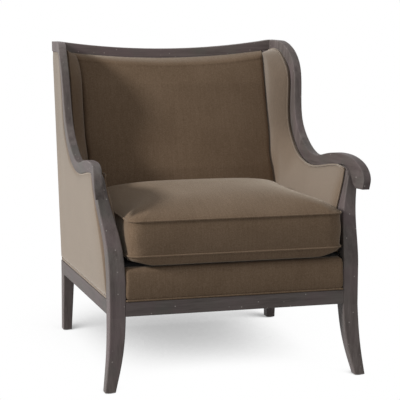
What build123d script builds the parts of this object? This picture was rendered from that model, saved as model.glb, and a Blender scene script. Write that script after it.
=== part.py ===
from build123d import *
import math
import os

os.makedirs("parts", exist_ok=True)

# Stance. Depths are measured back from the toe line, which is the front of the front feet.
overall_depth = 845.0        # toe line to the back of the crest
overall_height = 940.0       # floor to the ends of the crest
rail_half_width = 364.0      # centre line to the outer faces of the seat rails
back_rake = 45.0             # how far the outside back leans, from its foot to the crest

# Seat rails: bare wood below, cloth above a ledge
rail_bottom = 210.0          # underside of the front rail
rail_show = 41.0             # bare height
rail_hidden = 56.0           # height behind the cloth
rail_thick = 32.0
rail_drop = 20.0             # the side rails fall this much to the back
border_recess = 12.0         # ledge for the front border
panel_recess = 11.0          # ledge for the outside panels
rail_set_back = 18.0         # toe line to the face of the front rail

# Front legs: the foot kicks forwards and outwards, the knee stands in the seat frame
foot_half_width = 382.0      # centre line to the outside of the front feet
foot_width = 30.0
foot_depth = 32.0
knee_width = 45.5
knee_depth = 50.0
knee_above = 3.0             # the knee stands this much past the rail, above and below
post_head_width = 28.0
post_head_depth = 49.0
post_head_set_back = 101.0   # toe line to the front of the post's head
leg_round = 3.0

# Rear legs and back posts
heel_kick = 28.0             # front of the rear feet to the back rail's face
heel_width = 28.0
heel_depth = 36.0
hock_width = 35.0
hock_depth = 48.0
back_post_foot = 46.0        # depth of the back post at the seat
back_post_head = 36.0        # and under the crest

# Side boards: arms and wings are sawn from boards that lean out from the rails
board_thick = 24.0
post_lean = 49.0             # lean at crest height, beside the posts
wing_lean = 29.0             # lean at crest height, at the front of the wings
crest_tuck = 10.0            # the wings draw in again towards the crest
scroll_flare = 32.0          # the scrolls turn out towards their tips
post_station = 127.0         # depth where the scroll starts to turn out
tuck_reach = 245.0           # where the wing starts to draw in, to the back of the crest
tuck_length = 140.0

# Arm and wing outlines
arm_height = 626.0           # highest point of the arm
arm_sweep = 26.5             # dip before the arm runs up into the wing
arm_band = 32.0
scroll_drop = 89.0           # top of the arm down to the tip of the scroll
scroll_front = 26.0          # toe line to the front of the scroll
scroll_tip = 33.0            # depth of the tip
wing_reach = 261.0           # front of the wings to the back of the crest
wing_band = 36.0
crest_band = 32.0            # height of the crest and of the wings beside it
wing_run = 100.0             # flat length of a wing beside the crest
crest_thick = 26.0
crest_dip = 26.0             # the crest is lower by this in the middle
edge_ease = 2.5              # rounding of the show-wood edges

# Cushion
cushion_half_width = 309.0   # centre line to the welt
cushion_front = 7.0          # toe line to the front welt
cushion_back = 580.0         # toe line to the rear welt
cushion_belly = 354.0        # height of the underside
cushion_low_welt = 381.0
cushion_high_welt = 475.0
cushion_crown = 512.0        # height of the middle of the top
cushion_corner = 36.0
cushion_draw = 4.0           # the sides are drawn in by this between the welts
cover_thick = 3.0
welt_radius = 3.0
zipper_length = 420.0
zipper_height = 16.0
zipper_thick = 1.6

# Pads and panels
pad_edge = 5.0               # thickness of a pad where it meets the wood
arm_swell = 34.0             # thickness of the inside arm at sitting height
arm_pad_foot = 27.0          # thickness of the inside arm at the seat
corner_swell = 32.5          # thickness beside the cushion's rear corner
corner_pad_foot = 25.0       # and at the seat there
joint_swell = 35.0           # thickness where the arm runs up into the wing
joint_pad_foot = 33.0        # and below that, at the inside back
wing_swell = 46.0            # thickness of the inside wing beside the inside back
wing_pad_deep = 50.0
crest_swell = 24.0           # thickness of the inside wing under the crest
crest_pad_deep = 30.0
pad_set_back = 117.0         # toe line to the front of the inside arms
panel_thick = 8.0
panel_inset = 2.0            # outside panels lie this much inside the wood's face
back_panel_thick = 6.0
border_height = 140.0        # front rail's underside to the top of the border
border_bulge = 3.0
border_nose = 20.0
back_half_width = 300.0      # inside back at the seat
back_spread = 16.0           # and it widens by this to the crest
back_crown = 16.0            # the inside back is fuller in the middle
back_seat_set_back = 606.0   # toe line to the inside back at the seat
back_roll = 42.0             # its upper edge rolls back this much to the crest

# Hidden frame, springs and fittings
tack_height = 30.0
tack_thick = 24.0
block_reach = 86.0
block_height = 52.0
block_lift = 14.0            # corner blocks sit this much above the rail's underside
dowel_radius = 4.0
dowel_length = 50.0
dowel_clearance = 0.1
screw_radius = 2.2
screw_length = 32.0
screw_head_radius = 4.5
screw_head = 3.0
screw_pocket = 14.0          # wood left under a screw's head
wire_radius = 1.8
spring_count = 5
spring_spacing = 118.0
spring_half_width = 22.0
spring_runs = 31
clip_length = 30.0
clip_width = 12.0
clip_height = 7.0
web_count = 6
web_width = 52.0
web_thick = 2.0
sheet_thick = 1.2
glide_height = 3.0
glide_radius = 10.0
nail_radius = 1.3
nail_length = 15.0

# Clearances
cloth_gap = 0.4              # between cloth pieces and what they lie against

# Stations worked out from the sizes above
toe = -overall_depth / 2
heel = overall_depth / 2
rail_face = toe + rail_set_back
ledge = rail_bottom + rail_show
rail_top = ledge + rail_hidden
knee_back = rail_face + knee_depth
knee_inner = rail_half_width - knee_width
back_rail_face = heel - back_rake
heel_front = back_rail_face - heel_kick
wing_line = heel - wing_reach
wing_station = overall_depth - tuck_reach
arm_start = toe + post_head_set_back + 59
arm_run = wing_line - arm_start
hock_front = back_rail_face - hock_depth
hock_inner = rail_half_width - hock_width
deck_top = cushion_belly - cloth_gap
reach = 3 * rail_half_width


def rail_fall(y):
    """How far the side rails have fallen at depth y."""
    return rail_drop * (y - knee_back) / (hock_front - knee_back)


def back_face(z):
    """Depth of the outside back's face at height z."""
    foot = ledge - rail_drop
    return heel - back_rake * (overall_height - z) / (overall_height - foot)


def post_front(z):
    """Depth of the back posts' front faces at height z."""
    share = (z - rail_top) / (overall_height - rail_top)
    thick = back_post_foot + (back_post_head - back_post_foot) * share
    return back_face(z) - back_panel_thick - cloth_gap - thick


def side_x(y, z):
    """Half width of the side boards' outer faces at depth y and height z."""
    depth = y - toe
    along = min(depth, wing_station + tuck_length) - post_station
    along /= wing_station - post_station
    lean = post_lean + (wing_lean - post_lean) * along
    tuck = min(max((depth - wing_station) / tuck_length, 0), 1)
    lean -= crest_tuck * tuck * tuck * (3 - 2 * tuck)
    turn = max(post_station - depth, 0) / (post_station - scroll_front)
    lean += scroll_flare * turn * turn
    return rail_half_width + lean * (z - ledge) / (overall_height - ledge)


def side_strip(inset, thick):
    """Two plan sections of a leaning side board, low and high."""
    sections = []
    for z in (rail_bottom - rail_drop, overall_height + rail_thick):
        steps = range(-1, 15)
        depths = [toe + overall_depth * i / 13 for i in steps]
        with BuildSketch(Plane.XY.offset(z)) as section:
            with BuildLine():
                outer, inner = [
                    Edge.make_spline([(side_x(y, z) - x, y) for y in depths], parameters=steps)
                    for x in (inset, inset + thick)
                ]
                add([outer, inner])
                Line(outer @ 0, inner @ 0)
                Line(outer @ 1, inner @ 1)
            make_face()
        sections.append(section.sketch)
    return sections


def block_section(z, x_inner, x_outer, y_front, y_back, radius):
    """Level section of a leg with rounded corners."""
    with BuildSketch(Plane.XY.offset(z)) as section:
        with Locations(((x_inner + x_outer) / 2, (y_front + y_back) / 2)):
            RectangleRounded(x_outer - x_inner, y_back - y_front, radius)
    return section.sketch


# Outlines of the arm and the wing in side view, as depth and height
joint_top = (wing_line - 79, arm_height + 14)
joint_low = (wing_line - 60, arm_height - arm_sweep - 1.5)
joint_slope = (0.84, 0.54)
arm_top_edge = [
    (toe + scroll_front + 2, arm_height - scroll_drop),
    (toe + scroll_front, arm_height - scroll_drop * 0.7),
    (toe + scroll_front + 19, arm_height - arm_band * 0.92),
    (toe + post_head_set_back - 4, arm_height - arm_band * 0.17),
    (arm_start, arm_height),
    (arm_start + 0.335 * arm_run, arm_height - arm_sweep * 0.52),
    (arm_start + 0.5425 * arm_run, arm_height - arm_sweep),
    joint_top,
]
arm_low_edge = [
    joint_low,
    (wing_line - 114, arm_height - arm_sweep * 0.85 - arm_band * 0.84),
    (arm_start + 0.554 * arm_run, arm_height - arm_sweep - arm_band),
    (arm_start + 0.212 * arm_run, arm_height - arm_sweep * 0.34 - arm_band),
    (arm_start, arm_height - arm_band),
    (toe + post_head_set_back, arm_height - arm_band * 1.44),
    (toe + post_head_set_back - 24, arm_height - scroll_drop + 11),
    (toe + scroll_front + 2 + scroll_tip, arm_height - scroll_drop),
]
wing_fore_edge = [
    joint_top,
    (wing_line - 21, arm_height + 70),
    (wing_line, overall_height - 160),
    (wing_line + 16, overall_height - 87),
    (wing_line + 69, overall_height - 29),
    (heel - wing_run, overall_height),
]
wing_rear_edge = [
    joint_low,
    (wing_line + wing_band - 14, arm_height + 54),
    (wing_line + wing_band + 1, overall_height - 170),
    (wing_line + wing_band + 14, overall_height - 98),
    (wing_line + wing_band + 46, overall_height - 64),
    (heel - wing_run, overall_height - crest_band),
]
tip_slopes = ((-0.1, 1.0), (-0.8, -0.6))
level = (1.0, 0.0)
joint_back = (-joint_slope[0], -joint_slope[1])
even = (1.0, 1.0)

with BuildSketch(Plane.YZ) as arm_outline:
    with BuildLine():
        Spline(*arm_top_edge, tangents=(tip_slopes[0], joint_slope), tangent_scalars=even)
        Line(joint_top, joint_low)
        Spline(*arm_low_edge, tangents=(joint_back, tip_slopes[1]), tangent_scalars=even)
        Line(arm_low_edge[-1], arm_top_edge[0])
    make_face()

with BuildSketch(Plane.YZ) as wing_outline:
    with BuildLine():
        Spline(*wing_fore_edge, tangents=(joint_slope, level), tangent_scalars=even)
        Polyline(
            wing_fore_edge[-1],
            (heel, overall_height),
            (heel, overall_height - crest_band),
            wing_rear_edge[-1],
        )
        Spline(*reversed(wing_rear_edge), tangents=((-1.0, 0.0), joint_back), tangent_scalars=even)
        Line(joint_low, joint_top)
    make_face()

# Dip of the crest as arcs through its ends and its middle, in front view
crest_end = side_x(heel, overall_height) - board_thick
crest_radius = (crest_end ** 2 + crest_dip ** 2) / (2 * crest_dip)
crest_over = crest_end + board_thick / 2


def crest_arc(drop):
    """Arc of the crest's top, lowered by drop and carried on into the side boards."""
    low = overall_height - crest_dip - drop
    rise = crest_radius - math.sqrt(crest_radius ** 2 - crest_over ** 2)
    return ThreePointArc((-crest_over, low + rise), (0, low), (crest_over, low + rise))


with BuildSketch(Plane.XZ) as crest_outline:
    with BuildLine():
        top_arc = crest_arc(0)
        low_arc = crest_arc(crest_band)
        Line(top_arc @ 0, low_arc @ 0)
        Line(top_arc @ 1, low_arc @ 1)
    make_face()
    with BuildLine():
        shoulder, waist = overall_height + crest_band, overall_height - 4 * crest_band
        high_end = side_x(heel, shoulder) - board_thick - dowel_clearance
        low_end = side_x(heel, waist) - board_thick - dowel_clearance
        Polyline(
            (-low_end, waist), (low_end, waist), (high_end, shoulder), (-high_end, shoulder), close=True
        )
    make_face(mode=Mode.INTERSECT)

# Everything above the crest's underside, used to trim what ends below it
with BuildPart() as above_crest:
    with BuildSketch(Plane.XZ.offset(-reach)):
        with BuildLine():
            trim_arc = crest_arc(crest_band)
            Polyline(
                trim_arc @ 1,
                (reach, (trim_arc @ 1).Y),
                (reach, overall_height + reach),
                (-reach, overall_height + reach),
                (-reach, (trim_arc @ 0).Y),
                trim_arc @ 0,
            )
        make_face()
    extrude(amount=2 * reach)

# Dowels through the show-wood: post into arm, arm into wing, wing into crest
head_x = side_x(toe + post_station, arm_height) - board_thick / 2 - 2
joint_mid = ((joint_top[0] + joint_low[0]) / 2, (joint_top[1] + joint_low[1]) / 2)
joint_x = side_x(*joint_mid) - board_thick / 2
crest_mid = (heel - crest_thick / 2, overall_height - crest_band / 2)
show_dowel = 0.8 * dowel_length


def show_dowels(radius, half):
    """Dowels of the right-hand show-wood joints as loose cylinders."""
    post_pin = Pos(head_x, toe + post_station, arm_height - arm_band) * Cylinder(radius, 2 * half, mode=Mode.PRIVATE)
    slant = Plane((joint_x, *joint_mid), z_dir=(0, *joint_slope))
    along = Vector(0, joint_low[0] - joint_top[0], joint_low[1] - joint_top[1]).normalized()
    pins = [post_pin]
    for side in (-1, 1):
        spot = slant.offset(0)
        spot.origin = slant.origin + along * (side * 3 * dowel_radius)
        pins.append(spot * Cylinder(radius, 2 * half, mode=Mode.PRIVATE))
    crest_pin = Plane((crest_end, *crest_mid), z_dir=(1, 0, 0))
    pins.append(crest_pin * Pos(0, 0, board_thick / 2 - half) * Cylinder(radius, 2 * half, mode=Mode.PRIVATE))
    return pins


show_bores = show_dowels(dowel_radius + dowel_clearance, show_dowel / 2 + dowel_clearance)

with BuildPart() as arm_right:
    extrude(arm_outline.sketch, amount=reach)
    loft(side_strip(0, board_thick), ruled=True, mode=Mode.INTERSECT)
    long_edges = arm_right.edges().filter_by(lambda e: e.length > 1.15 * board_thick)
    joint_spot = Vector(joint_x, *joint_mid)
    fillet(long_edges.filter_by(lambda e: (e.center() - joint_spot).length > board_thick), edge_ease)
    add(show_bores, mode=Mode.SUBTRACT)

with BuildPart() as wing_right:
    extrude(wing_outline.sketch, amount=reach)
    loft(side_strip(0, board_thick), ruled=True, mode=Mode.INTERSECT)
    long_edges = wing_right.edges().filter_by(lambda e: e.length > 1.15 * board_thick)
    fillet(long_edges.filter_by(lambda e: (e.center() - joint_spot).length > board_thick), edge_ease)
    add(show_bores, mode=Mode.SUBTRACT)

with BuildPart() as crest_rail:
    extrude(crest_outline.sketch, amount=-heel)
    with BuildSketch(Plane.XY) as crest_plan:
        with Locations((0, heel - crest_thick / 2)):
            Rectangle(2 * reach, crest_thick)
    extrude(amount=2 * overall_height, mode=Mode.INTERSECT)
    chamfer(crest_rail.edges().filter_by(lambda e: e.length > crest_end), edge_ease * 0.7)
    add(show_bores, mode=Mode.SUBTRACT)
    for pin in show_bores:
        add(mirror(pin, about=Plane.YZ, mode=Mode.PRIVATE), mode=Mode.SUBTRACT)

# Dowels of the seat rails
pin_heights = {"front": (14.0, 60.0), "side": (32.0, 85.0), "back": (16.0, 62.0)}
front_pin_y = rail_face + rail_thick - (rail_thick - border_recess) / 2
side_pin_x = rail_half_width - rail_thick + (rail_thick - panel_recess) / 2
back_pin_y = back_rail_face - rail_thick + (rail_thick - panel_recess) / 2
across = Plane.YZ.z_dir


def rail_dowels(radius, half):
    """Dowels of the right-hand seat rail joints as loose cylinders."""
    pins = []
    for rise in pin_heights["front"]:
        spot = Plane((knee_inner, front_pin_y, rail_bottom + rise), z_dir=across)
        pins.append(spot * Cylinder(radius, 2 * half, mode=Mode.PRIVATE))
    for y in (knee_back, hock_front):
        for rise in pin_heights["side"]:
            spot = Plane((side_pin_x, y, rail_bottom - rail_fall(y) + rise), z_dir=(0, 1, 0))
            pins.append(spot * Cylinder(radius, 2 * half, mode=Mode.PRIVATE))
    for rise in pin_heights["back"]:
        spot = Plane((hock_inner, back_pin_y, rail_bottom - rail_drop + rise), z_dir=across)
        pins.append(spot * Cylinder(radius, 2 * half, mode=Mode.PRIVATE))
    return pins


rail_bores = rail_dowels(dowel_radius + dowel_clearance, dowel_length / 2 + dowel_clearance)

# Glides: a disc and a nail, driven up into the middle of each foot
front_foot = (foot_half_width - foot_width / 2, toe + foot_depth / 2)
rear_foot = (rail_half_width - heel_width / 2, heel_front + heel_depth / 2)


def nail_bore(spot):
    """Hole for a glide's nail."""
    length = nail_length + dowel_clearance
    return Pos(*spot, glide_height + length / 2) * Cylinder(
        nail_radius + dowel_clearance, length, mode=Mode.PRIVATE
    )


# Front leg: sections as height, inner x, outer x, front and rear depth from the toe line
knee_foot = rail_bottom - knee_above
knee_head = rail_top + knee_above
foot_inner = foot_half_width - foot_width
head_outer = side_x(toe + post_station, arm_height - arm_band)
post_rise = arm_height - arm_band - knee_head


def between(share, low, high):
    """Value that runs from low to high."""
    return low + (high - low) * share


shin = [
    (glide_height, 0.0, 0.0),
    (glide_height + 32, 0.25, 0.22),
    (0.48 * knee_foot, 0.68, 0.55),
    (0.77 * knee_foot, 0.91, 0.8),
    (knee_foot, 1.0, 1.0),
]
post = [
    (knee_head, 0.0, 0.0),
    (between(0.23, knee_head, knee_head + post_rise), 0.07, 0.13),
    (between(0.46, knee_head, knee_head + post_rise), 0.26, 0.46),
    (between(0.67, knee_head, knee_head + post_rise), 0.58, 0.75),
    (between(0.85, knee_head, knee_head + post_rise), 0.84, 0.87),
    (knee_head + 1.03 * post_rise, 1.0, 1.0),
]

with BuildPart() as front_leg_right:
    shin_sections = []
    for z, across_share, back_share in shin:
        shin_sections.append(block_section(
            z,
            between(across_share, foot_inner, knee_inner),
            between(across_share, foot_half_width, rail_half_width),
            toe + between(back_share, 0, rail_set_back),
            toe + between(back_share, foot_depth, rail_set_back + knee_depth),
            leg_round,
        ))
    loft(shin_sections)
    knee = block_section(knee_foot, knee_inner, rail_half_width, rail_face, knee_back, leg_round)
    extrude(knee, amount=knee_head - knee_foot)
    post_sections = []
    for z, across_share, back_share in post:
        post_sections.append(block_section(
            z,
            between(across_share, knee_inner, head_outer - post_head_width),
            between(across_share, rail_half_width, head_outer),
            between(back_share, rail_face, toe + post_head_set_back),
            between(back_share, knee_back, toe + post_head_set_back + post_head_depth),
            leg_round,
        ))
    loft(post_sections)
    extrude(arm_outline.sketch, amount=reach, mode=Mode.SUBTRACT)
    add(show_bores, mode=Mode.SUBTRACT)
    add(rail_bores, mode=Mode.SUBTRACT)
    add(nail_bore(front_foot), mode=Mode.SUBTRACT)

# Rear leg below the rails, and the back post that carries on inside the upholstery
back_ledge = ledge - rail_drop
hock_foot = rail_bottom - rail_drop - knee_above
post_outer = rail_half_width - panel_recess
with BuildPart() as rear_leg_right:
    heel_section = block_section(
        glide_height,
        rail_half_width - heel_width,
        rail_half_width,
        heel_front,
        heel_front + heel_depth,
        leg_round,
    )
    hock = block_section(hock_foot, hock_inner, rail_half_width, hock_front, back_rail_face, leg_round)
    loft([heel_section, hock])
    extrude(hock, amount=back_ledge - hock_foot)
    with BuildSketch(Plane.YZ.offset(hock_inner)):
        with BuildLine():
            Polyline(
                (hock_front, back_ledge),
                (back_face(back_ledge) - back_panel_thick - cloth_gap, back_ledge),
                (back_face(overall_height) - back_panel_thick - cloth_gap, overall_height),
                (post_front(overall_height), overall_height),
                (hock_front, deck_top),
                close=True,
            )
        make_face()
    extrude(amount=post_outer - hock_inner)
    add(above_crest.part, mode=Mode.SUBTRACT)
    add(rail_bores, mode=Mode.SUBTRACT)
    add(nail_bore(rear_foot), mode=Mode.SUBTRACT)

# Corner blocks and their screws, right-hand corners
front_corner = (knee_inner, rail_face + rail_thick)
side_inner = rail_half_width - rail_thick
rear_inner_y = back_rail_face - rail_thick
front_block_z = rail_bottom + block_lift
back_block_z = rail_bottom - rail_drop + block_lift
screw_in = block_reach * 0.3


def corner_screws(shank, head, pocket):
    """Screws of the right-hand corner blocks, or with a pocket the holes for them."""
    screws = []
    low, high = 0.3 * block_height, 0.7 * block_height
    seats = [
        ((knee_inner - screw_in, front_corner[1] + screw_pocket, front_block_z + low), (0, -1, 0)),
        ((side_inner - screw_pocket, knee_back + screw_in, front_block_z + high), (1, 0, 0)),
        ((hock_inner - screw_in, rear_inner_y - screw_pocket, back_block_z + low), (0, 1, 0)),
        ((side_inner - screw_pocket, hock_front - screw_in, back_block_z + high), (1, 0, 0)),
    ]
    for at, way in seats:
        spot = Plane(at, z_dir=way)
        screws.append(spot * Pos(0, 0, screw_length / 2) * Cylinder(shank, screw_length, mode=Mode.PRIVATE))
        height = screw_head + pocket
        screws.append(spot * Pos(0, 0, -height / 2) * Cylinder(head, height, mode=Mode.PRIVATE))
    return screws


screw_bores = corner_screws(
    screw_radius + dowel_clearance, screw_head_radius + dowel_clearance, block_reach
)

with BuildPart() as blocks_right:
    with BuildSketch(Plane.XY.offset(front_block_z)):
        with BuildLine():
            Polyline(
                (knee_inner - block_reach, front_corner[1]),
                front_corner,
                (knee_inner, knee_back),
                (side_inner, knee_back),
                (side_inner, knee_back + block_reach),
                close=True,
            )
        make_face()
    extrude(amount=block_height)
    with BuildSketch(Plane.XY.offset(back_block_z)):
        with BuildLine():
            Polyline(
                (hock_inner - block_reach, rear_inner_y),
                (hock_inner, rear_inner_y),
                (hock_inner, hock_front),
                (side_inner, hock_front),
                (side_inner, hock_front - block_reach),
                close=True,
            )
        make_face()
    extrude(amount=block_height)
    add(screw_bores, mode=Mode.SUBTRACT)

# Seat rails
with BuildPart() as front_rail:
    with BuildSketch(Plane.YZ.offset(-knee_inner)):
        with BuildLine():
            Polyline(
                (rail_face, rail_bottom),
                (rail_face + rail_thick, rail_bottom),
                (rail_face + rail_thick, rail_top),
                (rail_face + border_recess, rail_top),
                (rail_face + border_recess, ledge),
                (rail_face, ledge),
                close=True,
            )
        make_face()
    extrude(amount=2 * knee_inner)
    show_edges = front_rail.edges().filter_by(Axis.X).group_by(Axis.Y)[0]
    fillet(show_edges, edge_ease)
    for cutter in (*rail_bores, *screw_bores):
        add(cutter, mode=Mode.SUBTRACT)
        add(mirror(cutter, about=Plane.YZ, mode=Mode.PRIVATE), mode=Mode.SUBTRACT)

with BuildPart() as side_rail_right:
    with BuildSketch(Plane.YZ.offset(side_inner)) as side_show:
        with BuildLine():
            Polyline(
                (knee_back, rail_bottom),
                (hock_front, rail_bottom - rail_drop),
                (hock_front, back_ledge),
                (knee_back, ledge),
                close=True,
            )
        make_face()
    extrude(amount=rail_thick)
    with BuildSketch(Plane.YZ.offset(side_inner)) as side_hidden:
        with BuildLine():
            Polyline(
                (knee_back, ledge),
                (hock_front, back_ledge),
                (hock_front, rail_top - rail_drop),
                (knee_back, rail_top),
                close=True,
            )
        make_face()
    extrude(amount=rail_thick - panel_recess)
    long_show = side_rail_right.edges().group_by(Axis.X)[-1].filter_by(lambda e: e.length > knee_depth * 2)
    fillet(long_show, edge_ease)
    add(rail_bores, mode=Mode.SUBTRACT)
    add(screw_bores, mode=Mode.SUBTRACT)

with BuildPart() as back_rail:
    with BuildSketch(Plane.YZ.offset(-hock_inner)):
        with BuildLine():
            Polyline(
                (rear_inner_y, rail_bottom - rail_drop),
                (back_rail_face, rail_bottom - rail_drop),
                (back_rail_face, back_ledge),
                (back_rail_face - panel_recess, back_ledge),
                (back_rail_face - panel_recess, rail_top - rail_drop),
                (rear_inner_y, rail_top - rail_drop),
                close=True,
            )
        make_face()
    extrude(amount=2 * hock_inner)
    fillet(back_rail.edges().filter_by(Axis.X).group_by(Axis.Y)[-1], edge_ease)
    for cutter in (*rail_bores, *screw_bores):
        add(cutter, mode=Mode.SUBTRACT)
        add(mirror(cutter, about=Plane.YZ, mode=Mode.PRIVATE), mode=Mode.SUBTRACT)

# Tack rails that hold the lower edges of the inside back and the inside arms
tack_foot = deck_top - tack_height
with BuildPart() as back_tack_rail:
    with BuildSketch(Plane.XY.offset(tack_foot)):
        with Locations((0, hock_front + tack_thick / 2)):
            Rectangle(2 * hock_inner, tack_thick)
    extrude(amount=tack_height)

with BuildPart() as arm_tack_rail_right:
    with BuildSketch(Plane.XY.offset(tack_foot)):
        with Locations((knee_inner + tack_thick / 2 + leg_round, (rail_face + hock_front) / 2)):
            Rectangle(tack_thick, hock_front - rail_face)
    extrude(amount=tack_height)
    add(front_leg_right.part, mode=Mode.SUBTRACT)
    with BuildSketch(Plane.XY.offset(tack_foot)):
        with Locations((rail_half_width, rail_face)):
            Rectangle(2 * knee_width, 2 * knee_depth * 0.8)
    extrude(amount=tack_height, mode=Mode.SUBTRACT)

# Loose dowels, screws and glides for both sides
with BuildPart() as rail_pins:
    for pin in rail_dowels(dowel_radius, dowel_length / 2):
        add(pin)
        add(mirror(pin, about=Plane.YZ, mode=Mode.PRIVATE))

with BuildPart() as show_pins:
    for pin in show_dowels(dowel_radius, show_dowel / 2):
        add(pin)
        add(mirror(pin, about=Plane.YZ, mode=Mode.PRIVATE))

with BuildPart() as block_screws:
    for piece in corner_screws(screw_radius, screw_head_radius, 0):
        add(piece)
        add(mirror(piece, about=Plane.YZ, mode=Mode.PRIVATE))

with BuildPart() as foot_glides:
    for x, y in (front_foot, rear_foot):
        for side in (-1, 1):
            with BuildSketch(Plane.XY):
                with Locations((side * x, y)):
                    Circle(glide_radius)
            extrude(amount=glide_height)
            with BuildSketch(Plane.XY.offset(glide_height)):
                with Locations((side * x, y)):
                    Circle(nail_radius)
            extrude(amount=nail_length)

# Sinuous seat springs, from clips on the front rail to clips on the back rail
spring_start = Vector(0, rail_face + border_recess + clip_width / 2 + 2, rail_top + clip_height / 2)
spring_end = Vector(0, rear_inner_y + clip_width / 2 + 2, rail_top - rail_drop + clip_height / 2)
spring_run = spring_end - spring_start
turn_radius = spring_run.length / (2 * (spring_runs - 1))
spring_normal = Vector(1, 0, 0).cross(spring_run).normalized()
spring_xs = [spring_spacing * (i - (spring_count - 1) / 2) for i in range(spring_count)]

with BuildPart() as seat_springs:
    for x in spring_xs:
        bed = Plane(spring_start + Vector(x, 0, 0), x_dir=spring_run, z_dir=spring_normal)
        with BuildLine(bed):
            for run in range(spring_runs):
                side = 1 if run % 2 else -1
                at = 2 * turn_radius * run
                Line((at, side * spring_half_width), (at, -side * spring_half_width))
                if run < spring_runs - 1:
                    ThreePointArc(
                        (at, -side * spring_half_width),
                        (at + turn_radius, -side * (spring_half_width + turn_radius)),
                        (at + 2 * turn_radius, -side * spring_half_width),
                    )
        first = bed.from_local_coords((0, -spring_half_width))
        with BuildSketch(Plane(first, z_dir=across)):
            Circle(wire_radius)
        sweep()

with BuildPart() as spring_clips:
    for x in spring_xs:
        for end in (spring_start, spring_end):
            with BuildSketch(Plane((x - clip_length / 2, end.Y, end.Z), x_dir=(0, 1, 0), z_dir=across)):
                Rectangle(clip_width, clip_height)
                Circle(wire_radius + dowel_clearance, mode=Mode.SUBTRACT)
            extrude(amount=clip_length)

# Back webbing, tacked across the front of the back posts
web_low = deck_top
web_high = overall_height - crest_band - crest_dip
web_slope = Vector(0, post_front(overall_height) - hock_front, overall_height - web_low).normalized()
web_normal = web_slope.cross(Vector(1, 0, 0))
web_pitch = (web_high - web_low) / (web_count + 0.5)
with BuildPart() as back_webbing:
    for i in range(web_count):
        centre = Vector(0, hock_front, web_low) + web_slope * (web_pitch * (i + 0.75))
        with BuildSketch(Plane(centre, x_dir=(1, 0, 0), z_dir=-web_normal)):
            Rectangle(post_outer + hock_inner, web_width)
        extrude(amount=web_thick)

# Deck pad on the springs, level on top
deck_front = rail_face + rail_thick + cloth_gap
deck_back = hock_front - cloth_gap
wire_top = Vector(0, 0, wire_radius + cloth_gap)
deck_half_width = knee_inner - 2 * cloth_gap


def spring_height(y):
    """Height of the top of the springs at depth y."""
    return (spring_start + spring_run * ((y - spring_start.Y) / spring_run.Y) + wire_top).Z


with BuildPart() as seat_deck:
    with BuildSketch(Plane.YZ.offset(-deck_half_width)):
        with BuildLine():
            Polyline(
                (deck_front, spring_height(deck_front)),
                (deck_back, spring_height(deck_back)),
                (deck_back, deck_top),
                (deck_front, deck_top),
                close=True,
            )
        make_face()
    extrude(amount=2 * deck_half_width)

# Front border over the front rail, and the welt along its lower edge
border_low = ledge + 2 * welt_radius + cloth_gap
border_top = rail_bottom + border_height
border_half_width = knee_inner - cloth_gap
with BuildPart() as front_border:
    with BuildSketch(Plane.YZ.offset(-border_half_width)):
        with BuildLine():
            face = ThreePointArc(
                (rail_face, border_low),
                (rail_face - border_bulge, (border_low + border_top - border_nose) / 2),
                (rail_face, border_top - border_nose),
            )
            nose = RadiusArc(face @ 1, (rail_face + border_nose, border_top), border_nose)
            Polyline(
                nose @ 1,
                (deck_front - cloth_gap, border_top),
                (deck_front - cloth_gap, rail_top + clip_height + cloth_gap),
                (rail_face + border_recess - cloth_gap, rail_top + clip_height + cloth_gap),
                (rail_face + border_recess - cloth_gap, border_low),
                face @ 0,
            )
        make_face()
    extrude(amount=2 * border_half_width)

with BuildPart() as border_welt:
    with BuildSketch(Plane.YZ.offset(-border_half_width)):
        with Locations((rail_face + welt_radius, ledge + welt_radius)):
            Circle(welt_radius)
    extrude(amount=2 * border_half_width)

# Inside back: full in the middle, leaning back more than the posts do
back_stations = [
    (cushion_belly, 0.0, 0.0),
    (cushion_high_welt - 15, 0.0, 0.05),
    (cushion_high_welt + 70, 0.11, 0.12),
    (arm_height + 34, 0.33, 0.25),
    (overall_height - 135, 0.62, 0.45),
    (overall_height - 70, 0.81, 0.75),
    (overall_height - 40, 0.94, 0.9),
    (overall_height - 15, 1.06, 1.0),
]
crest_reach = overall_depth - crest_thick - back_roll - back_seat_set_back
crest_front = heel - crest_thick


def web_face(z):
    """Depth of the webbing's front at height z."""
    climb = max(z - web_low, 0) * web_slope.Y / web_slope.Z
    return hock_front - web_thick / web_slope.Z - 2 * cloth_gap + climb


with BuildPart() as inside_back:
    back_sections = []
    for z, lean_share, spread_share in back_stations:
        half = back_half_width + back_spread * spread_share
        fore = toe + back_seat_set_back + crest_reach * lean_share
        rear = web_face(z) if z < web_high else crest_front - cloth_gap
        with BuildSketch(Plane.XY.offset(z)) as section:
            with BuildLine():
                ThreePointArc((-half, fore), (0, fore - back_crown), (half, fore))
                Polyline((half, fore), (half, rear), (-half, rear), (-half, fore))
            make_face()
        back_sections.append(section.sketch)
    loft(back_sections, ruled=True)
    add(above_crest.part, mode=Mode.SUBTRACT)

# Inside arm and wing, one pad: sections follow the wood's edge from the post to the crest,
# each from a point on the edge to a point deep behind the cushion or the inside back
pad_foot = deck_top + cloth_gap


def edge_spot(point, out_y, out_z):
    """Point of the wood's edge, moved off it by the cloth's gap."""
    return (point[0] + out_y * cloth_gap, point[1] + out_z * cloth_gap)


def deep_spot(z):
    """Point at height z where a pad ends, in front of the webbing."""
    return (web_face(z) - cloth_gap, z)


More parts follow.
